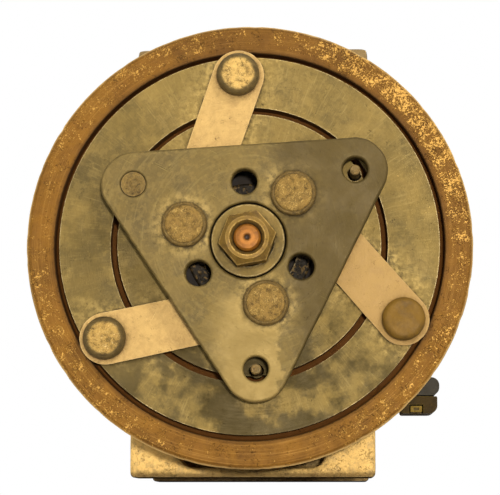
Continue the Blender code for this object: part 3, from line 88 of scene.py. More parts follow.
def circle(radius, steps, centre=(0.0, 0.0)):
    return [Vector(centre) + polar(radius, 360 * i / steps) for i in range(steps)]


def filleted(corners, step=12.0):
    points = []
    for i, (a, b, radius) in enumerate(corners):
        here = Vector((a, b))
        if radius <= 0:
            points.append(here)
            continue
        before = (Vector(corners[i - 1][:2]) - here).normalized()
        after = (Vector(corners[(i + 1) % len(corners)][:2]) - here).normalized()
        half = before.angle(after) / 2
        centre = here + (before + after).normalized() * (radius / math.sin(half))
        start = here + before * (radius / math.tan(half)) - centre
        sweep = math.pi - 2 * half
        side = 1 if before.x * after.y - before.y * after.x < 0 else -1
        count = max(1, round(math.degrees(sweep) / step))
        for k in range(count + 1):
            angle = side * sweep * k / count
            points.append(
                centre
                + Vector(
                    (
                        start.x * math.cos(angle) - start.y * math.sin(angle),
                        start.x * math.sin(angle) + start.y * math.cos(angle),
                    )
                )
            )
    return points


def turned(profile, steps=160, centre=(0.0, 0.0)):
    shape = bmesh.new()
    verts = [shape.verts.new((a, b, 0)) for a, b in profile]
    pairs = list(zip(verts, verts[1:]))
    if profile[0][0] > 1e-6 or profile[-1][0] > 1e-6:
        pairs.append((verts[-1], verts[0]))
    edges = [shape.edges.new(pair) for pair in pairs]
    bmesh.ops.spin(
        shape, geom=verts + edges, cent=(0, 0, 0), axis=(0, 1, 0), angle=2 * math.pi, steps=steps, use_merge=True
    )
    bmesh.ops.remove_doubles(shape, verts=shape.verts[:], dist=0.0005)
    bmesh.ops.dissolve_degenerate(shape, dist=0.0001, edges=shape.edges[:])
    bmesh.ops.recalc_face_normals(shape, faces=shape.faces[:])
    bmesh.ops.translate(shape, verts=shape.verts[:], vec=(centre[0], 0, centre[1]))
    return shape


def plate(outlines, low, high, along="Y"):
    shape = bmesh.new()
    place = {
        "X": lambda a, b: (low, a, b),
        "Y": lambda a, b: (a, low, b),
        "Z": lambda a, b: (a, b, low),
    }[along]
    lift = {"X": (high - low, 0, 0), "Y": (0, high - low, 0), "Z": (0, 0, high - low)}[along]
    edges = []
    for outline in outlines:
        verts = [shape.verts.new(place(a, b)) for a, b in outline]
        edges += [shape.edges.new(pair) for pair in zip(verts, verts[1:] + verts[:1])]
    bmesh.ops.triangle_fill(shape, use_beauty=True, use_dissolve=False, edges=edges)
    grown = bmesh.ops.extrude_face_region(shape, geom=shape.faces[:])["geom"]
    bmesh.ops.translate(shape, verts=[v for v in grown if isinstance(v, bmesh.types.BMVert)], vec=lift)
    bmesh.ops.recalc_face_normals(shape, faces=shape.faces[:])
    return shape


def threadTurns(crest, root, start, end):
    # the outline of a thread with a pitch of 1 mm, from start towards end
    step = 1.0 if end > start else -1.0
    points = []
    while (end - start) * step > 0:
        points += [(crest, start), (root, start + step / 2)]
        start += step
    return points


def rectangle(left, low, right, high):
    return [(left, low), (right, low), (right, high), (left, high)]


def rod(radius, low, high, along, centre, steps=48):
    return plate([circle(radius, steps, centre)], low, high, along)


def hexagon(flats, centre=(0.0, 0.0), turn=0.0):
    return [Vector(centre) + polar(flats / math.sqrt(3), turn + 60 * i) for i in range(6)]


def softened(shape, width, segments=3, sharper=1.0):
    edges = [e for e in shape.edges if len(e.link_faces) == 2 and e.calc_face_angle(0) > sharper]
    bmesh.ops.bevel(
        shape, geom=edges, offset=width, offset_type="OFFSET", segments=segments, profile=0.5, affect="EDGES",
        material=-1, clamp_overlap=True
    )
    return shape


def joined(*shapes):
    whole = bmesh.new()
    for shape in shapes:
        mesh = bpy.data.meshes.new("part")
        shape.to_mesh(mesh)
        shape.free()
        whole.from_mesh(mesh)
        bpy.data.meshes.remove(mesh)
    return whole


def asObject(shape, name="work"):
    mesh = bpy.data.meshes.new(name)
    shape.to_mesh(mesh)
    shape.free()
    thing = bpy.data.objects.new(name, mesh)
    bpy.context.scene.collection.objects.link(thing)
    return thing


def worked(shape, *steps):
    # runs modifiers, given as (type, settings), and returns the result as a shape
    thing = asObject(shape)
    for kind, settings in steps:
        modifier = thing.modifiers.new(kind, kind)
        for key, value in settings.items():
            setattr(modifier, key, value)
    graph = bpy.context.evaluated_depsgraph_get()
    result = bmesh.new()
    result.from_object(thing, graph)
    mesh = thing.data
    bpy.data.objects.remove(thing)
    bpy.data.meshes.remove(mesh)
    return result


def carved(shape, *tools, operation="DIFFERENCE"):
    for tool in tools:
        cutter = asObject(tool, "cutter")
        shape = worked(
            shape, ("BOOLEAN", {"operation": operation, "object": cutter, "solver": "MANIFOLD"})
        )
        mesh = cutter.data
        bpy.data.objects.remove(cutter)
        bpy.data.meshes.remove(mesh)
    return shape


def skinned(shape, rows):
    # a closed tube from rings of points
    for a, b in zip(rows, rows[1:]):
        for k in range(len(a)):
            shape.faces.new((a[k - 1], a[k], b[k], b[k - 1]))
    shape.faces.new(rows[0])
    shape.faces.new(rows[-1])


def addPiece(shape, name, body, material, nodes=(), sharp=38.0, weighted=True):
    shape.transform(toFrame)
    bmesh.ops.recalc_face_normals(shape, faces=shape.faces[:])
    thing = asObject(shape, name)
    mesh = thing.data
    mesh.polygons.foreach_set("use_smooth", [True] * len(mesh.polygons))
    mesh.set_sharp_from_angle(angle=math.radians(sharp))
    mesh.materials.append(material)
    if weighted:
        modifier = thing.modifiers.new("Even faces", "WEIGHTED_NORMAL")
        modifier.keep_sharp = True
    if body:
        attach(thing, body)
    if nodes:
        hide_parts(*nodes)
    return thing


def paint(material, *nodes):
    for name in nodes:
        mesh = frame["nodes"][name].data
        mesh.materials.clear()
        mesh.materials.append(material)


# Materials


def connect(tree, socket, value):
    if isinstance(value, bpy.types.NodeSocket):
        tree.links.new(value, socket)
    else:
        socket.default_value = value


def calc(tree, operation, *values, clamp=False):
    node = tree.nodes.new("ShaderNodeMath")
    node.operation = operation
    node.use_clamp = clamp
    for socket, value in zip(node.inputs, values):
        connect(tree, socket, value)
    return node.outputs[0]


def times(tree, *values):
    return calc(tree, "MULTIPLY", *values)


def plus(tree, *values, clamp=False):
    return calc(tree, "ADD", *values, clamp=clamp)


def minus(tree, *values):
    return calc(tree, "SUBTRACT", *values)


def toward(tree, around, turn):
    # 1 at the given turn about the shaft, -1 opposite
    return calc(tree, "COSINE", minus(tree, around, math.radians(turn)))


def grain(tree, place, scale, detail=3.0, rough=0.55, twist=0.0):
    node = tree.nodes.new("ShaderNodeTexNoise")
    connect(tree, node.inputs["Vector"], place)
    for key, value in (("Scale", scale), ("Detail", detail), ("Roughness", rough), ("Distortion", twist)):
        connect(tree, node.inputs[key], value)
    return node.outputs[0]


def between(tree, value, low, high):
    # 0 at low, 1 at high, smooth in between
    node = tree.nodes.new("ShaderNodeMapRange")
    node.interpolation_type = "SMOOTHSTEP"
    connect(tree, node.inputs[0], value)
    connect(tree, node.inputs[1], low)
    connect(tree, node.inputs[2], high)
    return node.outputs[0]


def blended(tree, share, first, second):
    node = tree.nodes.new("ShaderNodeMix")
    node.data_type = "RGBA"
    node.clamp_factor = True
    connect(tree, node.inputs[0], share)
    for index, value in ((6, first), (7, second)):
        connect(tree, node.inputs[index], value if isinstance(value, bpy.types.NodeSocket) else (*value, 1))
    return node.outputs[2]


def laid(tree, colour, tone, mask, strength):
    return blended(tree, times(tree, mask, strength), colour, tone)


def vector(tree, x, y, z):
    node = tree.nodes.new("ShaderNodeCombineXYZ")
    for socket, value in zip(node.inputs, (x, y, z)):
        connect(tree, socket, value)
    return node.outputs[0]


def split(tree, value):
    node = tree.nodes.new("ShaderNodeSeparateXYZ")
    connect(tree, node.inputs[0], value)
    return node.outputs[:]


def newGroup(name, inputs, outputs):
    tree = bpy.data.node_groups.new(name, "ShaderNodeTree")
    for side, sockets in (("INPUT", inputs), ("OUTPUT", outputs)):
        for label, kind in sockets:
            tree.interface.new_socket(label, in_out=side, socket_type=kind)
    return tree, tree.nodes.new("NodeGroupInput").outputs, tree.nodes.new("NodeGroupOutput").inputs


def use(tree, effect, **values):
    node = tree.nodes.new("ShaderNodeGroup")
    node.node_tree = groups[effect]
    for key, value in values.items():
        connect(tree, node.inputs[key], value)
    return node.outputs


scalar = "NodeSocketFloat"
arrow = "NodeSocketVector"


def makeShaftSpace():
    # object coordinates in mm about the shaft line, and as radius, turn in degrees and depth
    tree, _, out = newGroup(
        "Shaft space",
        [],
        [("Place", arrow), ("Radius", scalar), ("Turn", scalar), ("Depth", scalar)],
    )
    own = tree.nodes.new("ShaderNodeTexCoord").outputs["Object"]
    move = tree.nodes.new("ShaderNodeVectorMath")
    move.operation = "MULTIPLY_ADD"
    connect(tree, move.inputs[0], own)
    move.inputs[1].default_value = (1 / millimetre,) * 3
    move.inputs[2].default_value = (0, 0, -shaftHeight / millimetre)
    x, y, z = split(tree, move.outputs[0])
    connect(tree, out["Place"], move.outputs[0])
    connect(tree, out["Radius"], calc(tree, "SQRT", plus(tree, times(tree, x, x), times(tree, z, z))))
    connect(tree, out["Turn"], calc(tree, "DEGREES", calc(tree, "ARCTAN2", z, x)))
    connect(tree, out["Depth"], y)
    return tree


def makeSpecks():
    # irregular spots of one size, gathered where the coarse noise is high
    tree, given, out = newGroup(
        "Specks",
        [("Place", arrow), ("Size", scalar), ("Amount", scalar)],
        [("Mask", scalar)],
    )
    scale = calc(tree, "DIVIDE", 1.0, given["Size"])
    fine = grain(tree, given["Place"], scale, 2.0, 0.7, 0.6)
    coarse = grain(tree, given["Place"], times(tree, scale, 0.13), 3.0, 0.6)
    level = plus(tree, fine, times(tree, minus(tree, coarse, 0.5), 0.7))
    edge = minus(tree, 0.86, times(tree, given["Amount"], 0.5))
    connect(tree, out["Mask"], between(tree, level, edge, plus(tree, edge, 0.07)))
    return tree


def makePatches():
    # broad stains: three sizes of noise with firm edges
    tree, given, out = newGroup(
        "Patches",
        [("Place", arrow), ("Size", scalar), ("Shift", scalar)],
        [("Mask", scalar), ("Fine", scalar)],
    )
    moved = tree.nodes.new("ShaderNodeVectorMath")
    moved.operation = "ADD"
    connect(tree, moved.inputs[0], given["Place"])
    connect(tree, moved.inputs[1], vector(tree, given["Shift"], given["Shift"], given["Shift"]))
    scale = calc(tree, "DIVIDE", 1.0, given["Size"])
    large = grain(tree, moved.outputs[0], scale, 5.0, 0.62, 0.4)
    fine = grain(tree, moved.outputs[0], times(tree, scale, 7.0), 4.0, 0.65)
    both = plus(tree, large, times(tree, minus(tree, fine, 0.5), 0.22))
    connect(tree, out["Mask"], between(tree, both, 0.32, 0.70))
    connect(tree, out["Fine"], fine)
    return tree


def makeEdgeWearAndHighlight():
    # bright where the surface turns a corner outward: edge wear, partly a painted highlight
    tree, given, out = newGroup("Edge wear and painted highlight", [("Width", scalar), ("Place", arrow)], [("Mask", scalar)])
    bevel = tree.nodes.new("ShaderNodeBevel")
    bevel.samples = 4
    connect(tree, bevel.inputs["Radius"], times(tree, given["Width"], millimetre))
    flat = tree.nodes.new("ShaderNodeNewGeometry").outputs["Normal"]
    dot = tree.nodes.new("ShaderNodeVectorMath")
    dot.operation = "DOT_PRODUCT"
    connect(tree, dot.inputs[0], bevel.outputs[0])
    connect(tree, dot.inputs[1], flat)
    turnedAway = between(tree, dot.outputs["Value"], 0.995, 0.9)
    broken = between(tree, grain(tree, given["Place"], 1.1, 3.0, 0.6), 0.34, 0.56)
    connect(tree, out["Mask"], times(tree, turnedAway, broken))
    return tree


def makeGrimeAndShade():
    # darkening in corners and under heads, from ambient occlusion: partly dirt, partly painted shade
    tree, given, out = newGroup("Grime and painted shade", [("Reach", scalar), ("Place", arrow)], [("Mask", scalar)])
    shade = tree.nodes.new("ShaderNodeAmbientOcclusion")
    shade.samples = 8
    connect(tree, shade.inputs["Distance"], times(tree, given["Reach"], millimetre))
    ragged = times(tree, minus(tree, grain(tree, given["Place"], 0.9, 4.0, 0.6), 0.5), 0.5)
    connect(tree, out["Mask"], between(tree, plus(tree, shade.outputs["AO"], ragged), 0.82, 0.42))
    return tree


def makeTurnMarks():
    # lines that run round the shaft, broken along the turn
    tree, given, out = newGroup(
        "Turned marks",
        [("Radius", scalar), ("Turn", scalar), ("Fineness", scalar)],
        [("Lines", scalar)],
    )
    angle = calc(tree, "RADIANS", given["Turn"])
    around = vector(
        tree,
        times(tree, given["Radius"], given["Fineness"]),
        times(tree, calc(tree, "COSINE", angle), 2.2),
        times(tree, calc(tree, "SINE", angle), 2.2),
    )
    connect(tree, out["Lines"], grain(tree, around, 1.0, 4.0, 0.65))
    return tree


def makeRaysAndSheen():
    # pale streaks that run out from the shaft: brushing marks, partly a painted sheen
    tree, given, out = newGroup("Rays and painted sheen", [("Radius", scalar), ("Turn", scalar)], [("Lines", scalar)])
    angle = calc(tree, "RADIANS", given["Turn"])
    fan = vector(
        tree,
        times(tree, given["Radius"], 0.10),
        times(tree, calc(tree, "COSINE", angle), 70.0),
        times(tree, calc(tree, "SINE", angle), 70.0),
    )
    connect(tree, out["Lines"], grain(tree, fan, 1.6, 4.0, 0.7))
    return tree


def makeScratches():
    # thin straight scores in one direction, few and uneven
    tree, given, out = newGroup(
        "Scratches",
        [("Place", arrow), ("Lean", scalar), ("Amount", scalar)],
        [("Mask", scalar)],
    )
    turn = tree.nodes.new("ShaderNodeVectorRotate")
    turn.rotation_type = "Y_AXIS"
    connect(tree, turn.inputs["Vector"], given["Place"])
    connect(tree, turn.inputs["Angle"], calc(tree, "RADIANS", given["Lean"]))
    x, _, z = split(tree, turn.outputs[0])
    lines = grain(tree, vector(tree, times(tree, x, 0.09), 0.0, times(tree, z, 4.2)), 1.0, 2.0, 0.5)
    here = grain(tree, given["Place"], 0.11, 2.0, 0.5)
    level = plus(tree, lines, times(tree, minus(tree, here, 0.5), 0.5))
    edge = minus(tree, 0.80, times(tree, given["Amount"], 0.3))
    connect(tree, out["Mask"], between(tree, level, edge, plus(tree, edge, 0.03)))
    return tree


def makeArmSpace():
    # coordinates turned so that every arm of the clutch lies alike, with the first along +X
    tree, given, out = newGroup(
        "Arm space",
        [("Radius", scalar), ("Turn", scalar)],
        [("Along", scalar), ("Across", scalar)],
    )
    shifted = minus(tree, given["Turn"], clutch["firstTurn"] - 180 / clutch["arms"])
    wrapped = minus(tree, calc(tree, "FLOORED_MODULO", shifted, 360 / clutch["arms"]), 180 / clutch["arms"])
    angle = calc(tree, "RADIANS", wrapped)
    connect(tree, out["Along"], times(tree, given["Radius"], calc(tree, "COSINE", angle)))
    connect(tree, out["Across"], times(tree, given["Radius"], calc(tree, "SINE", angle)))
    return tree


groups = {
    "space": makeShaftSpace(),
    "specks": makeSpecks(),
    "patches": makePatches(),
    "wear": makeEdgeWearAndHighlight(),
    "grimeAndShade": makeGrimeAndShade(),
    "turnMarks": makeTurnMarks(),
    "raysAndSheen": makeRaysAndSheen(),
    "scratches": makeScratches(),
    "arms": makeArmSpace(),
}


def startMaterial(name, metallic=0.0, roughness=0.5, **settings):
    material = bpy.data.materials.new(name)
    material.use_nodes = True
    tree = material.node_tree
    tree.nodes.clear()
    shader = tree.nodes.new("ShaderNodeBsdfPrincipled")
    shader.inputs["Metallic"].default_value = metallic
    shader.inputs["Roughness"].default_value = roughness
    for key, value in settings.items():
        shader.inputs[key.replace("_", " ")].default_value = value
    output = tree.nodes.new("ShaderNodeOutputMaterial")
    tree.links.new(shader.outputs[0], output.inputs["Surface"])
    return material, tree, shader


def raised(tree, shader, height, depth):
    # bump from a height of 0 to 1 that stands for depth in mm
    bump = tree.nodes.new("ShaderNodeBump")
    bump.inputs["Strength"].default_value = 1.0
    bump.inputs["Distance"].default_value = depth * millimetre
    connect(tree, bump.inputs["Height"], height)
    connect(tree, shader.inputs["Normal"], bump.outputs[0])


def surfaced(tree, shader, colour, rough, offset, height, depth):
    # colour, roughness as a sum and its offset, and relief
    recolour(tree, shader, colour)
    roughen(tree, shader, plus(tree, rough, offset, clamp=True))
    raised(tree, shader, height, depth)


def total(tree, *shares):
    # a weighted sum of (weight, value)
    result = None
    for weight, value in shares:
        part = times(tree, weight, value)
        result = part if result is None else plus(tree, result, part)
    return result


def wornMetal(name, look):
    # the clutch's steel: a base tone under stains, dust, pale rubbing partly painted as sheen, specks, scores, edges
    # worn pale and partly painted as highlight, and corner dirt partly painted as shade
    material, tree, shader = startMaterial(name, look["metal"], look["rough"], Specular_IOR_Level=0.3)
    space = use(tree, "space")
    place = space["Place"]
    stain = use(tree, "patches", Place=place, Size=look["stainSize"], Shift=look["shift"])
    colour = blended(tree, stain["Mask"], look["base"], look["dark"])
    dust = use(tree, "patches", Place=place, Size=look["dustSize"], Shift=look["shift"] + 40.0)
    colour = laid(tree, colour, look["dust"], dust["Mask"], look["dustAmount"])
    mottle = between(tree, stain["Fine"], 0.46, 0.62)
    colour = laid(tree, colour, look["dust"], mottle, look["mottle"])
    marks = use(tree, "turnMarks", Radius=space["Radius"], Turn=space["Turn"], Fineness=look["lineFineness"])
    lines = between(tree, marks["Lines"], 0.48, 0.68)
    colour = laid(tree, colour, look["pale"], lines, look["lines"])
    # radial streaks, partly a painted sheen
    if look.get("raysAndSheen"):
        raysAndSheen = use(tree, "raysAndSheen", Radius=space["Radius"], Turn=space["Turn"])
        colour = laid(tree, colour, look["pale"], between(tree, raysAndSheen["Lines"], 0.52, 0.74), look["raysAndSheen"])
    specks = use(tree, "specks", Place=place, Size=look["speckSize"], Amount=look["speckAmount"])
    colour = laid(tree, colour, look["speck"], specks["Mask"], 0.85)
    dots = use(tree, "specks", Place=place, Size=look["speckSize"] * 0.7, Amount=look["pitAmount"])
    colour = laid(tree, colour, look["pitAndShade"], dots["Mask"], 0.7)
    scores = use(tree, "scratches", Place=place, Lean=look["scoreLean"], Amount=look["scores"])
    colour = laid(tree, colour, look["pale"], scores["Mask"], 0.6)
    # pale worn edges, partly a painted highlight
    wear = use(tree, "wear", Width=look["edge"], Place=place)
    colour = laid(tree, colour, look["edgeWearAndHighlight"], wear["Mask"], look["edgeAmount"])
    # dirt and painted shade in corners and under heads
    grimeAndShade = use(tree, "grimeAndShade", Reach=look["grimeReach"], Place=place)
    colour = laid(tree, colour, look["pitAndShade"], grimeAndShade["Mask"], look["grimeAndShade"])
    rough = total(
        tree,
        (0.25, stain["Fine"]),
        (0.18, dust["Mask"]),
        (-0.16, wear["Mask"]),
        (0.2, grimeAndShade["Mask"]),
    )
    height = total(
        tree,
        (0.5, stain["Fine"]),
        (0.3, specks["Mask"]),
        (-0.4, dots["Mask"]),
        (-0.25, scores["Mask"]),
    )
    surfaced(
        tree,
        shader,
        colour,
        rough,
        look["rough"] - 0.1,
        plus(tree, height, times(tree, lines, 0.2)),
        look["bump"],
    )
    return material, tree, shader, colour


def fromRivet(tree, arms, ring):
    # distance in mm from the nearest rivet, when the rivets lie on a ring of this radius
    along = calc(tree, "POWER", minus(tree, arms["Along"], ring), 2.0)
    across = calc(tree, "POWER", calc(tree, "ABSOLUTE", arms["Across"]), 2.0)
    return calc(tree, "SQRT", plus(tree, along, across))


def recolour(tree, shader, colour):
    connect(tree, shader.inputs["Base Color"], colour)


def roughen(tree, shader, rough):
    connect(tree, shader.inputs["Roughness"], rough)


# Pulley

pulleyForm = {
    "steps": 216,
    "outer": 59.95,
    "inner": 52.3,
    "front": -37.0,
    "back": -12.0,
    "face": -32.75,
    "lip": 26.3,
    "bore": 27.8,
    "lipBack": -30.75,
    "plateBack": -27.75,
    "pocketInner": 32.0,
    "pocketOuter": 50.4,
    "ribTip": 57.6,
    "ribDepth": 2.6,
    "ribPitch": 3.5,
    "ribs": 6,
    "rootFlat": 0.8,
    "nicks": 0.28,  # depth of the dents in the rim's edge
}

rimLook = {
    "brown": (0.165, 0.070, 0.007),
    "dark": (0.062, 0.025, 0.003),
    "warm": (0.235, 0.106, 0.010),
    "gold": (0.50, 0.27, 0.052),
    "side": (0.80, 0.52, 0.19),
    "sideFrontAndLight": (0.95, 0.66, 0.26),
    "rust": (0.115, 0.036, 0.0006),
    "sootAndShade": (0.024, 0.012, 0.004),
    "speckSize": 0.40,
    "bump": 0.22,
}


def makeRimMaterial():
    look = rimLook
    form = pulleyForm
    material, tree, shader = startMaterial("Rusty rim", 0.25, 0.62, Specular_IOR_Level=0.18)
    space = use(tree, "space")
    place, radius, turn, depth = (space[key] for key in ("Place", "Radius", "Turn", "Depth"))
    stain = use(tree, "patches", Place=place, Size=13.0, Shift=3.0)
    warm = use(tree, "patches", Place=place, Size=5.0, Shift=71.0)
    colour = laid(tree, look["brown"], look["dark"], stain["Mask"], 0.55)
    colour = laid(tree, colour, look["warm"], warm["Mask"], 0.55)
    marks = use(tree, "turnMarks", Radius=radius, Turn=turn, Fineness=3.4)
    lines = between(tree, marks["Lines"], 0.5, 0.72)
    colour = laid(tree, colour, look["gold"], lines, 0.22)
    darkLines = between(tree, marks["Lines"], 0.45, 0.28)
    colour = laid(tree, colour, look["dark"], darkLines, 0.3)
    # painted shade: a darker top and right side
    around = calc(tree, "RADIANS", turn)
    shaded = between(tree, toward(tree, around, 52.0), 0.1, 0.85)
    colour = laid(tree, colour, look["dark"], shaded, 0.36)
    # bare gold specks, thick at the upper right and thinner elsewhere
    amount = 0.34
    for middle, spread, strength in (
        (38.0, 0.62, 0.42),
        (128.0, 0.55, 0.22),
        (214.0, 0.6, 0.24),
        (322.0, 0.5, 0.26),
    ):
        near = toward(tree, around, middle)
        share = between(tree, near, math.cos(spread * 1.5), 1.0)
        amount = plus(tree, amount, times(tree, share, strength))
    onBand = between(tree, radius, form["inner"] + 0.5, form["inner"] + 2.6)
    amount = times(tree, amount, plus(tree, 0.45, times(tree, onBand, 0.55)))
    specks = use(tree, "specks", Place=place, Size=look["speckSize"], Amount=amount)
    flakes = use(tree, "specks", Place=place, Size=look["speckSize"] * 2.0, Amount=minus(tree, amount, 0.16))
    bare = calc(tree, "MAXIMUM", specks["Mask"], flakes["Mask"])
    colour = laid(tree, colour, look["gold"], bare, 0.8)
    pits = use(tree, "specks", Place=place, Size=0.5, Amount=0.42)
    colour = laid(tree, colour, look["dark"], pits["Mask"], 0.7)
    # painted shade on the inner step along the gap; the side behind the front face, paler in its own colour and with
    # painted light on it; and the back darkened by old dirt and painted shade
    inner = between(tree, radius, form["inner"] + 1.5, form["inner"] - 0.2)
    colour = laid(tree, colour, look["dark"], inner, 0.75)
    side = between(tree, depth, form["front"] + 0.25, form["front"] + 0.9)
    outside = between(tree, radius, form["inner"] + 1.5, form["inner"] + 3.5)
    ahead = between(tree, depth, form["front"] + 6.0, form["front"] + 3.5)
    # painted light over the side's own paler colour
    sideToneAndLight = blended(tree, ahead, look["side"], look["sideFrontAndLight"])
    sideToneAndLight = laid(tree, sideToneAndLight, look["dark"], between(tree, marks["Lines"], 0.4, 0.6), 0.4)
    colour = laid(tree, colour, sideToneAndLight, times(tree, side, outside), 0.75)
    # gold worn edges, partly a painted highlight
    wear = use(tree, "wear", Width=0.5, Place=place)
    colour = laid(tree, colour, look["gold"], wear["Mask"], 0.8)
    # the walls and the face seen through the gap and the slots: rust, kept brown against the shade there, partly as
    # painted light
    gapRustAndLight = times(
        tree,
        between(tree, depth, form["front"] + 0.35, form["front"] + 1.1),
        between(tree, radius, form["inner"] + 1.2, form["inner"] + 0.3),
    )
    rust = laid(tree, look["rust"], look["dark"], stain["Fine"], 0.5)
    colour = laid(tree, colour, rust, gapRustAndLight, 0.9)
    # dark dirt and painted shade in corners, weaker in the gap
    grimeAndShade = use(tree, "grimeAndShade", Reach=3.0, Place=place)
    dirt = times(tree, grimeAndShade["Mask"], minus(tree, 0.8, times(tree, gapRustAndLight, 0.55)))
    colour = blended(tree, dirt, colour, look["sootAndShade"])
    rough = total(tree, (0.3, stain["Fine"]), (-0.18, bare), (-0.12, lines), (0.15, grimeAndShade["Mask"]))
    height = total(tree, (0.8, stain["Fine"]), (0.35, bare), (-0.6, pits["Mask"]), (0.25, marks["Lines"]))
    surfaced(tree, shader, colour, rough, 0.52, height, look["bump"])
    return material


def pulleyProfile():
    form = pulleyForm
    middle = (form["front"] + form["back"]) / 2
    start = middle - form["ribs"] * form["ribPitch"] / 2
    root = form["ribTip"] - form["ribDepth"]
    corners = [
        (form["lip"], form["face"], 0.3),
        (form["inner"], form["face"], 0.7),
        (form["inner"], form["front"], 0.55),
        (58.9, form["front"], 0.7),
        (form["outer"], form["front"] + 0.7, 0.35),
        (form["outer"], start - 0.8, 0.3),
        (form["ribTip"], start, 0.25),
    ]
    for i in range(form["ribs"]):
        groove = start + (i + 0.5) * form["ribPitch"]
        corners.append((root, groove - form["rootFlat"] / 2, 0.2))
        corners.append((root, groove + form["rootFlat"] / 2, 0.2))
        corners.append((form["ribTip"], start + (i + 1) * form["ribPitch"], 0.25))
    corners += [
        (58.9, start + form["ribs"] * form["ribPitch"] + 0.8, 0.3),
        (58.9, form["back"], 0.6),
        (form["pocketOuter"], form["back"], 0.4),
        (form["pocketOuter"], form["plateBack"], 1.0),
        (form["pocketInner"], form["plateBack"], 1.0),
        (form["pocketInner"], form["back"], 0.4),
        (form["bore"], form["back"], 0.4),
        (form["bore"], form["lipBack"], 0.2),
        (form["lip"], form["lipBack"], 0.2),
    ]
    return filleted(corners, 22)


def makePulley():
    form = pulleyForm
    shape = turned(pulleyProfile(), form["steps"])
    for vert in shape.verts:
        radius = math.hypot(vert.co.x, vert.co.z)
        if radius > 57.9 and vert.co.y < -35.5:
            nick = max(0.0, noise.noise(vert.co * 0.42) - 0.18) + 0.35 * max(0.0, noise.noise(vert.co * 1.5))
            vert.co.x -= vert.co.x / radius * nick * form["nicks"] * 1.6
            vert.co.z -= vert.co.z / radius * nick * form["nicks"] * 1.6
    addPiece(shape, "pulley_shell", "pulley", makeRimMaterial(), ["pulley"])


makePulley()
print("pulley")


# Armature plate

armatureForm = {
    "outer": 50.9,
    "bore": 22.0,
    "front": -38.2,
    "back": -33.2,
    "slotRadius": 36.2,
    "slotWidth": 1.8,
    "bridge": 18.0,
    "slotShift": 6.3,
    "edge": 0.4,
    "pinHole": 1.9,
}

armatureLook = {
    "metal": 0.45,
    "rough": 0.5,
    "base": (0.160, 0.103, 0.021),
    "dark": (0.044, 0.029, 0.004),
    "dust": (0.33, 0.225, 0.064),
    "pale": (0.46, 0.34, 0.12),
    "speck": (0.46, 0.29, 0.08),
    "pitAndShade": (0.020, 0.012, 0.004),
    "edgeWearAndHighlight": (0.62, 0.48, 0.24),
    "stainSize": 17.0,
    "dustSize": 12.0,
    "dustAmount": 0.30,
    "mottle": 0.26,
    "rust": (0.105, 0.037, 0.002),
    "shift": 12.0,
    "lineFineness": 2.6,
    "lines": 0.03,
    "raysAndSheen": 0.22,
    "speckSize": 0.45,
    "speckAmount": 0.16,
    "pitAmount": 0.3,
    "scoreLean": 35.0,
    "scores": 0.0,
    "edge": 0.4,
    "edgeAmount": 0.6,
    "grimeReach": 3.0,
    "grimeAndShade": 0.85,
    "bump": 0.1,
}


def arcSlot(radius, width, start, end):
    half = width / 2
    steps = 44
    outer = [polar(radius + half, start + (end - start) * i / steps) for i in range(steps + 1)]
    inner = [polar(radius - half, end + (start - end) * i / steps) for i in range(steps + 1)]
    return outer + slotEnd(radius, half, end, 0) + inner + slotEnd(radius, half, start, 180)


def slotEnd(radius, half, turn, first):
    centre = polar(radius, turn)
    return [centre + polar(half, turn + first + 180 * k / 8) for k in range(1, 8)]


def makeArmatureMaterial():
    look = armatureLook
    material, tree, shader, colour = wornMetal("Armature steel", look)
    space = use(tree, "space")
    arms = use(tree, "arms", Radius=space["Radius"], Turn=space["Turn"])
    # pale dust thrown beside each leaf spring
    end = polar(clutch["hubCircle"], clutch["springSweep"])
    way = (end - Vector((clutch["armatureCircle"], 0))).normalized()
    off = total(
        tree,
        (-way.y, minus(tree, arms["Along"], clutch["armatureCircle"])),
        (way.x, arms["Across"]),
    )
    near = between(tree, calc(tree, "ABSOLUTE", off), 15.0, 6.0)
    ragged = between(tree, grain(tree, space["Place"], 0.5, 5.0, 0.7), 0.42, 0.66)
    colour = laid(tree, colour, look["dust"], times(tree, near, ragged), 0.85)
    # darker in patches on the lower right and, less, on the left; and rusty on every wall behind the front face
    around = calc(tree, "RADIANS", space["Turn"])
    for middle, strength in ((-66.0, 0.95), (-110.0, 0.9), (150.0, 0.2), (200.0, 0.45)):
        side = between(tree, toward(tree, around, middle), 0.78, 0.98)
        patchy = between(tree, grain(tree, space["Place"], 0.12, 4.0, 0.6), 0.36, 0.56)
        colour = laid(tree, colour, look["dark"], times(tree, side, patchy), strength)
    walls = between(tree, space["Depth"], armatureForm["front"] + 0.55, armatureForm["front"] + 1.2)
    colour = laid(tree, colour, look["rust"], walls, 0.85)
    recolour(tree, shader, colour)
    return material


def makeArmature():
    form = armatureForm
    outlines = [circle(form["outer"], 240), circle(form["bore"], 120)]
    for turn in armTurns(form["slotShift"]):
        start = turn + form["bridge"] / 2
        end = turn + 360 / clutch["arms"] - form["bridge"] / 2
        outlines.append(arcSlot(form["slotRadius"], form["slotWidth"], start, end))
    for turn in armTurns(clutch["cornerTurn"]):
        outlines.append(circle(form["pinHole"], 20, polar(clutch["cornerCircle"], turn)))
    shape = softened(plate(outlines, form["front"], form["back"]), form["edge"], 2)
    addPiece(shape, "armature_disc", "armature", makeArmatureMaterial(), ["armature_plate"])


makeArmature()
print("armature plate")


# Hub plate

hubForm = {
    "front": -46.3,
    "back": -41.8,
    "cornerRadius": 8.7,
    "bossHole": 10.1,
    "rivetHole": 3.4,
    "pullerHole": 3.4,
    "pinHole": 3.3,
    "edge": 0.7,
    "waves": 0.22,
}

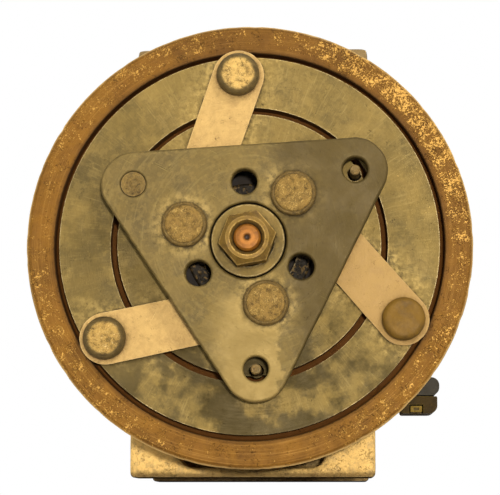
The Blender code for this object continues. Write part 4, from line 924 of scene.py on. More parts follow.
hubLook = {
    "metal": 0.45,
    "rough": 0.5,
    "base": (0.100, 0.066, 0.015),
    "dark": (0.056, 0.037, 0.008),
    "dust": (0.28, 0.190, 0.056),
    "pale": (0.40, 0.30, 0.10),
    "shade": (0.050, 0.032, 0.006),
    "speck": (0.42, 0.27, 0.08),
    "pitAndShade": (0.020, 0.012, 0.004),
    "edgeWearAndHighlight": (0.60, 0.46, 0.22),
    "stainSize": 11.0,
    "dustSize": 8.0,
    "dustAmount": 0.30,
    "mottle": 0.24,
    "shift": 31.0,
    "lineFineness": 1.2,
    "lines": 0.10,
    "raysAndSheen": 0.0,
    "speckSize": 0.40,
    "speckAmount": 0.12,
    "pitAmount": 0.26,
    "scoreLean": -28.0,
    "scores": 0.2,
    "edge": 0.7,
    "edgeAmount": 0.95,
    "grimeReach": 2.6,
    "grimeAndShade": 0.9,
    "bump": 0.12,
}


def makeHubMaterial():
    look = hubLook
    material, tree, shader, colour = wornMetal("Hub steel", look)
    space = use(tree, "space")
    arms = use(tree, "arms", Radius=space["Radius"], Turn=minus(tree, space["Turn"], clutch["springSweep"]))
    reach = fromRivet(tree, arms, clutch["hubCircle"])
    ring = times(tree, between(tree, reach, 10.5, 6.5), between(tree, reach, 5.6, 6.2))
    ragged = between(tree, grain(tree, space["Place"], 0.6, 5.0, 0.7), 0.38, 0.62)
    colour = laid(tree, colour, look["dust"], times(tree, ring, ragged), 0.8)
    # painted shade on the right, and a pale ragged stain that ends short of the lower right edge
    x, _, z = split(tree, space["Place"])
    wavy = times(tree, minus(tree, grain(tree, space["Place"], 0.25, 5.0, 0.65), 0.5), 9.0)
    right = plus(tree, x, wavy)
    shade = between(tree, total(tree, (1.0, right), (0.12, z)), 7.0, 13.0)
    colour = laid(tree, colour, look["shade"], shade, 0.72)
    lowered = times(tree, between(tree, z, -13.0, -17.0), between(tree, right, 8.6, 7.4))
    stained = times(tree, lowered, between(tree, right, -12.0, -4.0))
    colour = laid(tree, colour, look["dust"], stained, 0.62)
    # dirt and painted shade in corners
    grimeAndShade = use(tree, "grimeAndShade", Reach=look["grimeReach"], Place=space["Place"])
    colour = laid(tree, colour, look["pitAndShade"], grimeAndShade["Mask"], 0.7)
    recolour(tree, shader, colour)
    return material


def makeHubPlate():
    form = hubForm
    reach = clutch["cornerCircle"] + form["cornerRadius"] / math.cos(math.radians(60))
    corners = [(*polar(reach, turn), form["cornerRadius"]) for turn in armTurns(clutch["cornerTurn"])]
    outline = []
    rough = filleted(corners, 6)
    for a, b in zip(rough, rough[1:] + rough[:1]):
        pieces = max(1, round((b - a).length / 2))
        outline += [a + (b - a) * k / pieces for k in range(pieces)]
    for i, point in enumerate(outline):
        wave = abs(noise.noise(Vector((point.x, point.y, 0)) * 0.16)) * form["waves"]
        outline[i] = point - point.normalized() * wave
    outlines = [outline, circle(form["bossHole"], 90)]
    for ring, radius, shift in (
        ("pullerCircle", form["pullerHole"], 0.0),
        ("hubCircle", form["rivetHole"], clutch["springSweep"]),
        ("cornerCircle", form["pinHole"], clutch["cornerTurn"]),
    ):
        outlines += [circle(radius, 36, polar(clutch[ring], turn)) for turn in armTurns(shift)]
    shape = softened(plate(outlines, form["front"], form["back"]), form["edge"], 3)
    addPiece(shape, "hub_triangle", "shaft", makeHubMaterial(), ["hub_plate"])


makeHubPlate()
print("hub plate")


# Leaf springs

springForm = {
    "width": 13.8,
    "hubRadius": 6.6,
    "thickness": 0.9,
    "low": -38.5,  # back face at the armature
    "high": -40.6,  # back face at the hub
    "crease": 8.6,  # from the armature rivet to the bend
    "hubCrease": 8.0,
    "step": 0.9,
    "columns": 8,
}

springLook = {
    "metal": 0.12,
    "rough": 0.55,
    "base": (0.42, 0.260, 0.078),
    "dark": (0.30, 0.178, 0.050),
    "dust": (0.55, 0.36, 0.125),
    "pale": (0.60, 0.42, 0.16),
    "speck": (0.38, 0.21, 0.055),
    "pitAndShade": (0.08, 0.042, 0.012),
    "shade": (0.26, 0.150, 0.040),
    "edgeWearAndHighlight": (0.66, 0.48, 0.23),
    "stainSize": 5.0,
    "dustSize": 2.6,
    "dustAmount": 0.6,
    "mottle": 0.35,
    "shift": 55.0,
    "lineFineness": 1.6,
    "lines": 0.10,
    "raysAndSheen": 0.0,
    "speckSize": 0.5,
    "speckAmount": 0.26,
    "pitAmount": 0.36,
    "scoreLean": 60.0,
    "scores": 0.18,
    "edge": 0.35,
    "edgeAmount": 0.5,
    "grimeReach": 3.2,
    "grimeAndShade": 0.85,
    "bump": 0.1,
}


def springShape(start, end):
    form = springForm
    along = (end - start).normalized()
    across = Vector((-along.y, along.x))
    length = (end - start).length
    half = form["width"] / 2
    round1 = [(-half * math.cos(math.radians(a)), half * math.sin(math.radians(a))) for a in range(8, 90, 8)]
    count = round(length / form["step"])
    straight = [(length * i / count, half + (form["hubRadius"] - half) * i / count) for i in range(count + 1)]
    round2 = [
        (
            length + form["hubRadius"] * math.sin(math.radians(a)),
            form["hubRadius"] * math.cos(math.radians(a)),
        )
        for a in range(8, 90, 8)
    ]
    shape = bmesh.new()
    rows = []
    for reach, wide in round1 + straight + round2:
        share = min(1.0, max(0.0, (reach - form["crease"]) / (length - form["crease"] - form["hubCrease"])))
        soft = share + 0.03 * math.sin(2 * math.pi * share)
        y = form["low"] + (form["high"] - form["low"]) * soft
        row = []
        for k in range(form["columns"] + 1):
            side = wide * (2 * k / form["columns"] - 1)
            point = start + along * reach + across * side
            row.append(shape.verts.new((point.x, y, point.y)))
        rows.append(row)
    for a, b in zip(rows, rows[1:]):
        for k in range(form["columns"]):
            shape.faces.new((a[k], a[k + 1], b[k + 1], b[k]))
    grown = bmesh.ops.extrude_face_region(shape, geom=shape.faces[:])["geom"]
    verts = [v for v in grown if isinstance(v, bmesh.types.BMVert)]
    bmesh.ops.translate(shape, verts=verts, vec=(0, -form["thickness"], 0))
    bmesh.ops.recalc_face_normals(shape, faces=shape.faces[:])
    return softened(shape, 0.14, 2)


def makeLeafSprings():
    material, tree, shader, colour = wornMetal("Spring steel", springLook)
    # painted shade on the spring at the right
    turn = calc(tree, "RADIANS", use(tree, "space")["Turn"])
    shaded = between(tree, calc(tree, "COSINE", plus(tree, turn, math.radians(20.0))), 0.5, 0.95)
    recolour(tree, shader, laid(tree, colour, springLook["shade"], shaded, 0.6))
    for i, turn in enumerate(armTurns()):
        start = polar(clutch["armatureCircle"], turn)
        end = polar(clutch["hubCircle"], turn + clutch["springSweep"])
        name = f"leaf_spring_{i + 1}"
        spring = addPiece(
            springShape(start, end), f"spring_strip_{i + 1}", None, material, [name], weighted=False
        )
        middle = (springForm["low"] + springForm["high"]) / 2
        fixed = toFrame @ Vector((*(end + (start - end).normalized() * 8), 0)).xzy
        free = toFrame @ Vector((*(start + (end - start).normalized() * 8), 0)).xzy
        fixed.y = free.y = middle * millimetre
        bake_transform(spring)


makeLeafSprings()
print("leaf springs")


# Rivets and stop pins

rivetForm = {
    "head": 5.7,
    "front": -43.25,
    "back": -39.7,
    "edge": 1.75,
    "shank": 2.5,
    "end": -33.5,
    "hubHead": 6.0,
    "hubFront": -48.45,
    "hubBack": -46.6,
    "hubFace": 5.0,
    "hubShank": 3.0,
    "tail": 4.5,
    "tailFront": -40.3,
    "tailBack": -39.1,
}

rivetLook = {
    "metal": 0.4,
    "rough": 0.55,
    "base": (0.190, 0.108, 0.026),
    "dark": (0.085, 0.046, 0.012),
    "dust": (0.30, 0.185, 0.050),
    "pale": (0.42, 0.28, 0.10),
    "speck": (0.50, 0.31, 0.090),
    "pitAndShade": (0.030, 0.016, 0.005),
    "edgeWearAndHighlight": (0.36, 0.25, 0.10),
    "stainSize": 3.0,
    "dustSize": 1.8,
    "dustAmount": 0.6,
    "mottle": 0.5,
    "shift": 90.0,
    "lineFineness": 1.0,
    "lines": 0.0,
    "raysAndSheen": 0.0,
    "speckSize": 0.36,
    "speckAmount": 0.44,
    "pitAmount": 0.46,
    "scoreLean": 10.0,
    "scores": 0.0,
    "edge": 0.5,
    "edgeAmount": 0.3,
    "grimeReach": 2.2,
    "grimeAndShade": 0.9,
    "bump": 0.16,
}


# the first two armature rivets are worn to gold, the third is smooth and brown
goldRivet = {
    "base": (0.50, 0.315, 0.085),
    "dark": (0.30, 0.175, 0.042),
    "dust": (0.62, 0.41, 0.125),
    "speck": (0.74, 0.52, 0.20),
    "speckSize": 0.24,
    "speckAmount": 0.5,
    "pitAmount": 0.62,
}
rivetLooks = (
    dict(rivetLook, **goldRivet),
    dict(
        rivetLook,
        **dict(goldRivet, base=(0.36, 0.215, 0.050), dark=(0.18, 0.100, 0.020), dust=(0.50, 0.32, 0.085)),
    ),
    dict(
        rivetLook,
        metal=0.2,
        base=(0.145, 0.074, 0.006),
        dark=(0.072, 0.036, 0.003),
        dust=(0.175, 0.090, 0.007),
        dustSize=3.5,
        mottle=0.2,
        speckAmount=0.1,
        pitAmount=0.2,
        bump=0.06,
    ),
)
# painted shade on the rounded edges of the rivet heads
rivetEdgeShade = {"colour": (0.060, 0.040, 0.012), "start": 3.8, "end": 4.7, "share": 0.85}


def makeRivetMaterial(name, look, across, shift, start, end, share):
    # a worn head with painted shade on its rounded edge, from one radius to the other
    material, tree, shader, colour = wornMetal(name, look)
    space = use(tree, "space")
    arms = use(tree, "arms", Radius=space["Radius"], Turn=minus(tree, space["Turn"], shift))
    away = fromRivet(tree, arms, across)
    wavy = times(tree, minus(tree, grain(tree, space["Place"], 0.8, 3.0, 0.6), 0.5), 0.8)
    ring = between(tree, plus(tree, away, wavy), start, end)
    colour = laid(tree, colour, rivetEdgeShade["colour"], ring, share)
    recolour(tree, shader, colour)
    return material


hubRivetLook = dict(
    rivetLook,
    base=(0.165, 0.092, 0.018),
    dark=(0.100, 0.056, 0.011),
    dust=(0.30, 0.180, 0.040),
    mottle=0.7,
    speck=(0.46, 0.30, 0.085),
    speckSize=0.24,
    speckAmount=0.60,
    pitAmount=0.56,
    stainSize=1.6,
)


def roughHead(shape, front, depth, seed):
    # small hammered dents in a rivet's face
    for vert in shape.verts:
        if vert.co.y < front + 1.0:
            spot = noise.noise(Vector((vert.co.x, vert.co.z, seed)) * 0.55)
            fine = noise.noise(Vector((vert.co.x, vert.co.z, seed)) * 1.7)
            vert.co.y += depth * max(0.0, 0.5 + 0.7 * spot + 0.35 * fine)
    return shape


def ringed(profile, count):
    # adds rings across a flat face, so that it can be dented
    (r0, y0), (r1, y1) = profile[0], profile[1]
    return [(r0 + (r1 - r0) * i / count, y0 + (y1 - y0) * i / count) for i in range(count)] + profile[1:]


def makeRivets():
    form = rivetForm
    ring = rivetEdgeShade
    for i, turn in enumerate(armTurns()):
        share = 0.0 if i == 2 else ring["share"]
        material = makeRivetMaterial(
            f"Rivet steel {i + 1}",
            rivetLooks[i],
            clutch["armatureCircle"],
            0.0,
            ring["start"],
            ring["end"],
            share,
        )
        edge = form["edge"]
        rounding = [
            (
                form["head"] - edge + edge * math.sin(math.radians(a)),
                form["front"] + edge - edge * math.cos(math.radians(a)),
            )
            for a in range(0, 91, 10)
        ]
        profile = [(0, form["front"] + 0.05)] + rounding
        profile = ringed(profile, 7)
        profile += [(form["head"] - 0.15, form["back"]), (form["shank"], form["back"])]
        profile += [(form["shank"], form["end"]), (0, form["end"])]
        shape = turned(profile, 72, polar(clutch["armatureCircle"], turn))
        roughHead(shape, form["front"], 0.16, 3.0 + i)
        addPiece(
            shape,
            f"armature_rivet_head_{i + 1}",
            "armature",
            material,
            [f"armature_rivet_{i + 1}"],
        )
    # painted shade in the groove round the hub rivets' faces
    material = makeRivetMaterial(
        "Hub rivet steel",
        hubRivetLook,
        clutch["hubCircle"],
        clutch["springSweep"],
        form["hubFace"] - 0.15,
        form["hubFace"] + 0.1,
        0.55,
    )
    for i, turn in enumerate(armTurns(clutch["springSweep"])):
        face = form["hubFace"]
        profile = [
            (0, form["hubFront"]),
            (face - 0.5, form["hubFront"]),
            (face - 0.1, form["hubFront"] + 0.16),
        ]
        profile = ringed(profile, 7)
        profile += [(face + 0.12, form["hubFront"] + 0.5), (face + 0.3, form["hubFront"] + 0.42)]
        profile += [
            (form["hubHead"] - 0.35, form["hubFront"] + 0.5),
            (form["hubHead"] - 0.08, form["hubFront"] + 0.8),
        ]
        profile += [(form["hubHead"], form["hubFront"] + 1.2), (form["hubHead"], form["hubBack"])]
        profile += [(form["hubShank"], form["hubBack"]), (form["hubShank"], form["tailFront"])]
        profile += [
            (form["tail"], form["tailFront"]),
            (form["tail"] - 0.3, form["tailBack"]),
            (0, form["tailBack"]),
        ]
        shape = turned(profile, 72, polar(clutch["hubCircle"], turn))
        roughHead(shape, form["hubFront"] - 0.6, 0.14, 11.0 + i)
        addPiece(shape, f"hub_rivet_head_{i + 1}", "shaft", material, [f"hub_rivet_{i + 1}"])


pinForm = {"radius": 1.4, "front": -45.5, "back": -33.5}

# dried dirt that fills the hole round one pin
dirtForm = {"arm": 0, "radius": 3.27, "front": -46.0, "back": -44.4, "dimple": 1.0, "lift": 0.22}


def dirtDisc(centre):
    form = dirtForm
    rings = 14
    profile = []
    for i in range(rings + 1):
        share = i / rings
        hollow = max(0.0, 1 - abs(share * form["radius"] - 1.1) / form["dimple"])
        profile.append((share * form["radius"], form["front"] + 0.55 * hollow))
    profile += [(form["radius"], form["back"]), (0, form["back"])]
    shape = turned(profile, 56, centre)
    for vert in shape.verts:
        if vert.co.y < form["back"] - 0.2:
            vert.co.y += form["lift"] * (noise.noise(vert.co * 0.9) + 0.5 * noise.noise(vert.co * 2.3))
    return shape


def makeStopPins():
    form = pinForm
    look = dict(rivetLook, base=(0.10, 0.072, 0.026), speckAmount=0.2, dustAmount=0.3, speckSize=0.25)
    material = wornMetal("Pin steel", look)[0]
    look = dict(
        look,
        metal=0.0,
        rough=0.8,
        base=(0.135, 0.090, 0.026),
        dark=(0.075, 0.046, 0.012),
        stainSize=2.4,
        speckAmount=0.1,
        bump=0.3,
    )
    dirt = wornMetal("Dried dirt", look)[0]
    for i, turn in enumerate(armTurns(clutch["cornerTurn"])):
        profile = [
            (0, form["front"] + 0.12),
            (0.5, form["front"]),
            (form["radius"] - 0.3, form["front"] + 0.02),
        ]
        profile += [(form["radius"], form["front"] + 0.3), (form["radius"], form["back"]), (0, form["back"])]
        centre = polar(clutch["cornerCircle"], turn)
        shape = turned(profile, 40, centre)
        filled = i == dirtForm["arm"]
        if filled:
            shape = joined(shape, dirtDisc(centre))
        finish = dirt if filled else material
        addPiece(shape, f"stop_pin_end_{i + 1}", "armature", finish, [f"stop_pin_{i + 1}"])


makeRivets()
makeStopPins()
print("rivets and stop pins")


# Boss, nut and shaft

bossForm = {"bore": 6.8, "outer": 9.8, "neck": 9.5, "front": -45.8, "plateBack": -41.8, "back": -28.85}

nutForm = {
    "flats": 13.3,
    "front": -52.3,
    "back": -46.1,
    "chamfer": 1.2,
    "turn": 10.0,
    "bore": 3.75,
    "edge": 0.25,
}

# the nut's edges made bright, partly as a painted highlight
nutLook = dict(
    rivetLook,
    base=(0.100, 0.055, 0.006),
    dust=(0.165, 0.094, 0.012),
    edgeWearAndHighlight=(0.50, 0.32, 0.09),
    edgeAmount=0.85,
    edge=0.6,
    speckAmount=0.22,
    pitAmount=0.38,
    metal=0.55,
    rough=0.42,
    bump=0.08,
)


def makeBossAndNut():
    form = bossForm
    look = dict(
        hubLook,
        shift=14.0,
        base=(0.150, 0.094, 0.020),
        dust=(0.27, 0.180, 0.045),
        edgeAmount=0.9,
        dustAmount=0.35,
    )
    profile = filleted(
        [
            (form["bore"], form["front"], 0.25),
            (form["outer"], form["front"], 0.35),
            (form["outer"], form["plateBack"], 0),
            (form["neck"], form["plateBack"], 0),
            (form["neck"], form["back"], 0.3),
            (form["bore"], form["back"], 0.3),
        ],
        20,
    )
    addPiece(
        turned(profile, 120),
        "hub_collar",
        "shaft",
        wornMetal("Boss steel", look)[0],
        ["hub_boss"],
    )
    form = nutForm
    corner = form["flats"] / math.sqrt(3)
    face = form["flats"] / 2 - form["chamfer"] + 0.2
    block = plate([hexagon(form["flats"], turn=form["turn"])], form["front"], form["back"])
    keep = turned(
        [
            (0, form["front"] - 0.001),
            (face, form["front"] - 0.001),
            (corner + 0.15, form["front"] + (corner + 0.15 - face) * 0.55),
            (corner + 0.15, form["back"] - 0.5),
            (corner - 0.6, form["back"] + 0.001),
            (0, form["back"] + 0.001),
        ],
        96,
    )
    bore = turned(
        [
            (0, form["front"] - 1),
            (form["bore"] + 0.9, form["front"] - 1),
            (form["bore"] + 0.9, form["front"] + 0.02),
            (form["bore"], form["front"] + 0.75),
            (form["bore"], form["back"] + 1),
            (0, form["back"] + 1),
        ],
        96,
    )
    block = carved(block, keep, operation="INTERSECT")
    block = carved(block, bore)
    addPiece(block, "clutch_nut", "shaft", wornMetal("Nut steel", nutLook)[0], ["shaft_nut"], sharp=24)


shaftForm = {
    "tip": -52.7,
    "dimple": 0.95,
    "tipRadius": 3.55,
    "chamfer": 0.55,
    "boss": -45.8,
    "spline": 6.5,
    "shoulder": -27.65,
    "body": 8.5,
    "journal": 10.0,
    "journalFront": -4.7,
    "crankFront": 7.6,
    "crank": 15.5,
    "crankBack": 13.6,
    "pin": 5.0,
    "pinEnd": 26.5,
    "orbit": 4.9,
}


def makeShaftMaterial():
    material, tree, shader = startMaterial("Rusty shaft", 0.3, 0.5, Specular_IOR_Level=0.2)
    space = use(tree, "space")
    place, radius, depth = space["Place"], space["Radius"], space["Depth"]
    marks = use(tree, "turnMarks", Radius=radius, Turn=space["Turn"], Fineness=5.0)
    stain = use(tree, "patches", Place=place, Size=2.4, Shift=5.0)
    copper = blended(tree, stain["Mask"], (0.200, 0.072, 0.004), (0.110, 0.036, 0.002))
    copper = laid(tree, copper, (0.36, 0.150, 0.020), between(tree, marks["Lines"], 0.5, 0.66), 0.35)
    # a bright worn ring round the centre, and painted shade in the centre dimple
    ring = times(tree, between(tree, radius, 1.0, 1.35), between(tree, radius, 2.3, 1.7))
    copper = laid(tree, copper, (0.40, 0.150, 0.020), ring, 0.35)
    copper = blended(tree, between(tree, radius, 0.85, 0.55), copper, (0.025, 0.012, 0.006))
    steel = blended(tree, between(tree, marks["Lines"], 0.4, 0.62), (0.34, 0.32, 0.29), (0.52, 0.50, 0.46))
    inside = between(tree, depth, shaftForm["tip"] + 4.0, shaftForm["tip"] + 8.0)
    colour = blended(tree, inside, copper, steel)
    specks = use(tree, "specks", Place=place, Size=0.3, Amount=0.34)
    colour = laid(tree, colour, (0.09, 0.034, 0.008), specks["Mask"], 0.6)
    rough = total(tree, (0.3, stain["Fine"]), (0.2, marks["Lines"]))
    surfaced(tree, shader, colour, rough, 0.2, total(tree, (0.6, marks["Lines"]), (0.4, stain["Fine"])), 0.06)
    return material


def makeShaft():
    form = shaftForm
    corners = [
        (0, form["tip"] + form["dimple"], 0),
        (form["dimple"], form["tip"], 0),
        (form["tipRadius"] - form["chamfer"], form["tip"], 0.15),
        (form["tipRadius"], form["tip"] + form["chamfer"], 0.1),
    ]
    start = form["tip"] + form["chamfer"] + 0.4
    turns = threadTurns(form["tipRadius"], form["tipRadius"] - 0.45, start, form["boss"] - 1.0)
    corners += [(radius, depth, 0) for radius, depth in turns]
    corners += [
        (form["tipRadius"], form["boss"], 0.2),
        (form["spline"], form["boss"] + form["chamfer"], 0.2),
        (form["spline"], form["shoulder"], 0.2),
        (form["body"], form["shoulder"], 0.3),
        (form["body"], form["journalFront"], 0.2),
        (form["journal"], form["journalFront"], 0.3),
        (form["journal"], form["crankFront"], 0.2),
        (form["crank"], form["crankFront"], 0.6),
        (form["crank"], form["crankBack"], 0.6),
        (0, form["crankBack"], 0),
    ]
    profile = filleted(corners, 24)
    pin = softened(
        rod(form["pin"], form["crankBack"] - 1, form["pinEnd"], "Y", (0, form["orbit"]), 64),
        0.4,
        3,
    )
    whole = joined(turned(profile, 96), pin)
    addPiece(whole, "drive_shaft", "shaft", makeShaftMaterial(), ["crankshaft"])


makeBossAndNut()
makeShaft()
print("boss, nut and shaft")


# Field coil

coilForm = {
    "inner": 33.0,
    "outer": 49.4,
    "front": -26.75,
    "back": -10.3,
    "wall": 2.5,
    "winding": (35.8, 46.6, -25.25, -13.1),
    "wire": 1.1,
}


def makeCoilMaterials():
    case, tree, shader = startMaterial("Coil case steel", 0.5, 0.5)
    space = use(tree, "space")
    stain = use(tree, "patches", Place=space["Place"], Size=8.0, Shift=17.0)
    colour = blended(tree, stain["Mask"], (0.20, 0.15, 0.095), (0.07, 0.045, 0.025))
    marks = use(tree, "turnMarks", Radius=space["Depth"], Turn=space["Turn"], Fineness=3.0)
    colour = laid(tree, colour, (0.32, 0.26, 0.17), between(tree, marks["Lines"], 0.5, 0.7), 0.4)
    rust = use(tree, "specks", Place=space["Place"], Size=0.9, Amount=0.42)
    colour = laid(tree, colour, (0.24, 0.095, 0.028), rust["Mask"], 0.8)
    recolour(tree, shader, colour)
    roughen(tree, shader, plus(tree, times(tree, stain["Fine"], 0.4), 0.3))
    raised(tree, shader, total(tree, (0.6, stain["Fine"]), (0.4, rust["Mask"])), 0.12)

    winding, tree, shader = startMaterial("Varnished copper winding", 0.7, 0.35, Coat_Weight=0.4)
    space = use(tree, "space")
    tone = grain(tree, space["Place"], 0.5, 3.0, 0.6)
    colour = blended(tree, between(tree, tone, 0.35, 0.65), (0.52, 0.20, 0.06), (0.30, 0.10, 0.03))
    recolour(tree, shader, colour)
    roughen(tree, shader, plus(tree, times(tree, tone, 0.3), 0.2))
    raised(tree, shader, grain(tree, space["Place"], 1.5, 2.0, 0.5), 0.08)
    return case, winding


def makeCoil():
    form = coilForm
    case, winding = makeCoilMaterials()
    floor = form["back"] - form["wall"]
    inner, outer, wall = form["inner"], form["outer"], form["wall"]
    corners = [
        (inner, form["front"], 0.4),
        (inner + wall, form["front"], 0.4),
        (inner + wall, floor, 0.8),
        (outer - wall, floor, 0.8),
        (outer - wall, form["front"], 0.4),
        (outer, form["front"], 0.5),
        (outer, form["back"], 1.2),
        (inner, form["back"], 0.5),
    ]
    addPiece(
        turned(filleted(corners, 22), 180),
        "coil_case",
        "housing",
        case,
        ["field_coil_case"],
    )
    low, high, front, back = form["winding"]
    wire = form["wire"]
    points = []
    turns = int((high - low) / wire)
    layers = int((back - front) / wire)
    for i in range(turns):
        for a in range(0, 180, 45):
            points.append(
                (
                    low + wire * (i + 0.5) - wire / 2 * math.cos(math.radians(a)),
                    front + wire / 2 - wire / 2 * math.sin(math.radians(a)),
                )
            )
    for i in range(layers):
        for a in range(0, 180, 45):
            points.append(
                (
                    high - wire / 2 + wire / 2 * math.sin(math.radians(a)),
                    front + wire * (i + 0.5) - wire / 2 * math.cos(math.radians(a)),
                )
            )
    points += [(high - 0.3, back), (low, back), (low, front + wire / 2)]
    addPiece(turned(points, 120), "coil_winding", "housing", winding, ["field_coil_winding"])


makeCoil()
print("field coil")


# Housings

castLook = {
    "base": (0.42, 0.29, 0.125),
    "light": (0.55, 0.38, 0.155),
    "tan": (0.50, 0.31, 0.085),
    "grimeAndShade": (0.15, 0.078, 0.020),
    "black": (0.030, 0.016, 0.006),
    "white": (0.62, 0.50, 0.29),
    "paintedFootLight": (0.80, 0.52, 0.160),
    "darkerTop": (0.150, 0.096, 0.034),
    "grease": (0.014, 0.009, 0.003),
    "cake": (0.130, 0.078, 0.022),
    "bump": 0.28,
}

housingForm = {
    "voxel": 0.85,
    "shell": 45.5,
    "shellFront": -10.0,
    "joint": 43.0,
    "flange": 50.5,
    "flangeWidth": 10.0,
    "nose": 17.2,
    "noseFront": -33.65,
    "ringGroove": (16.2, -32.55, -30.75),
    "lugCircle": 52.1,
    "lug": 7.0,
    "boltHole": 3.3,
    "lugs": 5,
    "firstLug": 54.0,
    "footWidth": 68.0,
    "footReach": 61.5,
    "earWidth": 65.2,
    "earReach": 59.6,
    "barDepth": 20.0,
    "pillar": 14.0,
    "rib": 3.0,
    "web": 4.0,
    "hole": 5.2,
    "holeDrop": 9.6,
    "suctionPlace": 21.5,
    "rearFoot": 75.1,
    "portFace": 52.5,
    "portShift": 8.0,
    "studShift": 12.0,
    "stud": 3.3,
    "end": 91.1,
    "steps": 128,
    "suctionBore": 7.5,
    "dischargeBore": 6.0,
    "plugBore": 5.0,
    "valveBore": 5.3,
    "boltSeat": 6.4,
    "surplus": 0.3,  # the smoothing takes about this much off, so the rough casting starts larger
}


def makeCastMaterial(name, shift):
    look = castLook
    material, tree, shader = startMaterial(name, 0.25, 0.6, Specular_IOR_Level=0.3)
    space = use(tree, "space")
    place = space["Place"]
    stain = use(tree, "patches", Place=place, Size=15.0, Shift=shift)
    colour = blended(tree, stain["Mask"], look["base"], look["light"])
    tan = use(tree, "patches", Place=place, Size=7.0, Shift=shift + 23.0)
    colour = laid(tree, colour, look["tan"], tan["Mask"], 0.7)
    chalk = use(tree, "specks", Place=place, Size=0.9, Amount=0.30)
    colour = laid(tree, colour, look["white"], chalk["Mask"], 0.55)
    pits = use(tree, "specks", Place=place, Size=0.75, Amount=0.50)
    colour = laid(tree, colour, look["grimeAndShade"], pits["Mask"], 0.8)
    # oily dirt runs down and gathers low
    x, y, z = split(tree, place)
    runs = grain(
        tree,
        vector(tree, times(tree, x, 0.35), times(tree, y, 0.35), times(tree, z, 0.06)),
        1.0,
        4.0,
        0.6,
    )
    low = between(tree, z, -12.0, -56.0)
    oily = between(tree, plus(tree, runs, times(tree, low, 0.10)), 0.52, 0.70)
    colour = laid(tree, colour, look["grimeAndShade"], oily, 0.3)
    # painted light: the foot's front face is made paler, as if lit; the ears at the top are darker; and grease cakes
    # the end of the nose
    ahead = between(tree, y, 6.0, -4.0)
    paintedFootLight = times(tree, ahead, between(tree, z, -46.0, -50.0))
    mottle = between(tree, grain(tree, place, 0.55, 4.0, 0.65), 0.36, 0.54)
    colour = laid(tree, colour, look["paintedFootLight"], paintedFootLight, plus(tree, 0.35, times(tree, mottle, 0.6)))
    darkerTop = between(tree, z, 46.0, 50.0)
    colour = laid(tree, colour, look["darkerTop"], darkerTop, 0.85)
    radius = space["Radius"]
    greasy = times(tree, between(tree, radius, 20.5, 19.0), between(tree, y, -29.0, -31.5))
    caked = blended(
        tree,
        between(tree, grain(tree, place, 0.8, 3.0, 0.6), 0.52, 0.62),
        look["grease"],
        look["cake"],
    )
    colour = blended(tree, greasy, colour, caked)
    # black in corners: dirt and painted shade
    grimeAndShade = use(tree, "grimeAndShade", Reach=5.0, Place=place)
    colour = laid(tree, colour, look["black"], grimeAndShade["Mask"], 0.7)
    wear = use(tree, "wear", Width=0.6, Place=place)
    colour = laid(tree, colour, (0.66, 0.50, 0.25), wear["Mask"], 0.45)
    rough = total(tree, (0.25, stain["Fine"]), (0.2, grimeAndShade["Mask"]), (-0.15, wear["Mask"]))
    fine = grain(tree, place, 1.6, 4.0, 0.7)
    height = total(tree, (0.6, fine), (0.5, stain["Fine"]), (-0.7, pits["Mask"]), (0.3, chalk["Mask"]))
    surfaced(tree, shader, colour, rough, 0.48, height, look["bump"])
    return material


def mountingBar(side, middle, width, reach):
    form = housingForm
    half = width / 2
    inner = half - form["pillar"]
    root = side * (math.sqrt(form["shell"] ** 2 - half**2) - 3)
    face, rib = side * reach, side * (reach - form["rib"])
    front = middle - form["barDepth"] / 2
    back = middle + form["barDepth"] / 2
    corners = [
        (-half, root, 0),
        (-half, face, 1.2),
        (half, face, 1.2),
        (half, root, 0),
        (inner, root, 0),
        (inner, rib, 3.6),
        (-inner, rib, 3.6),
        (-inner, root, 0),
    ]
    return [
        plate([filleted(corners, 15)], front, back - form["web"] / 2),
        plate([filleted(corners[:4], 15)], back - form["web"], back),
    ]


def portPad(place, low):
    form = housingForm
    corners = [(-21, place - 11, 9), (21, place - 11, 9), (21, place + 11, 9), (-21, place + 11, 9)]
    return plate([filleted(corners, 12)], low, form["portFace"], "Z")


def boltPlaces():
    form = housingForm
    return [polar(form["lugCircle"], form["firstLug"] + 360 / form["lugs"] * i) for i in range(form["lugs"])]


def cast(solids, faces=42000):
    whole = joined(*solids)
    voxel = housingForm["voxel"]
    shape = worked(
        whole,
        ("REMESH", {"mode": "VOXEL", "voxel_size": voxel, "adaptivity": 0.0}),
        ("SMOOTH", {"factor": 0.5, "iterations": 7}),
    )
    ratio = min(1.0, faces / max(1, 2 * len(shape.faces)))
    return worked(shape, ("DECIMATE", {"ratio": ratio}))


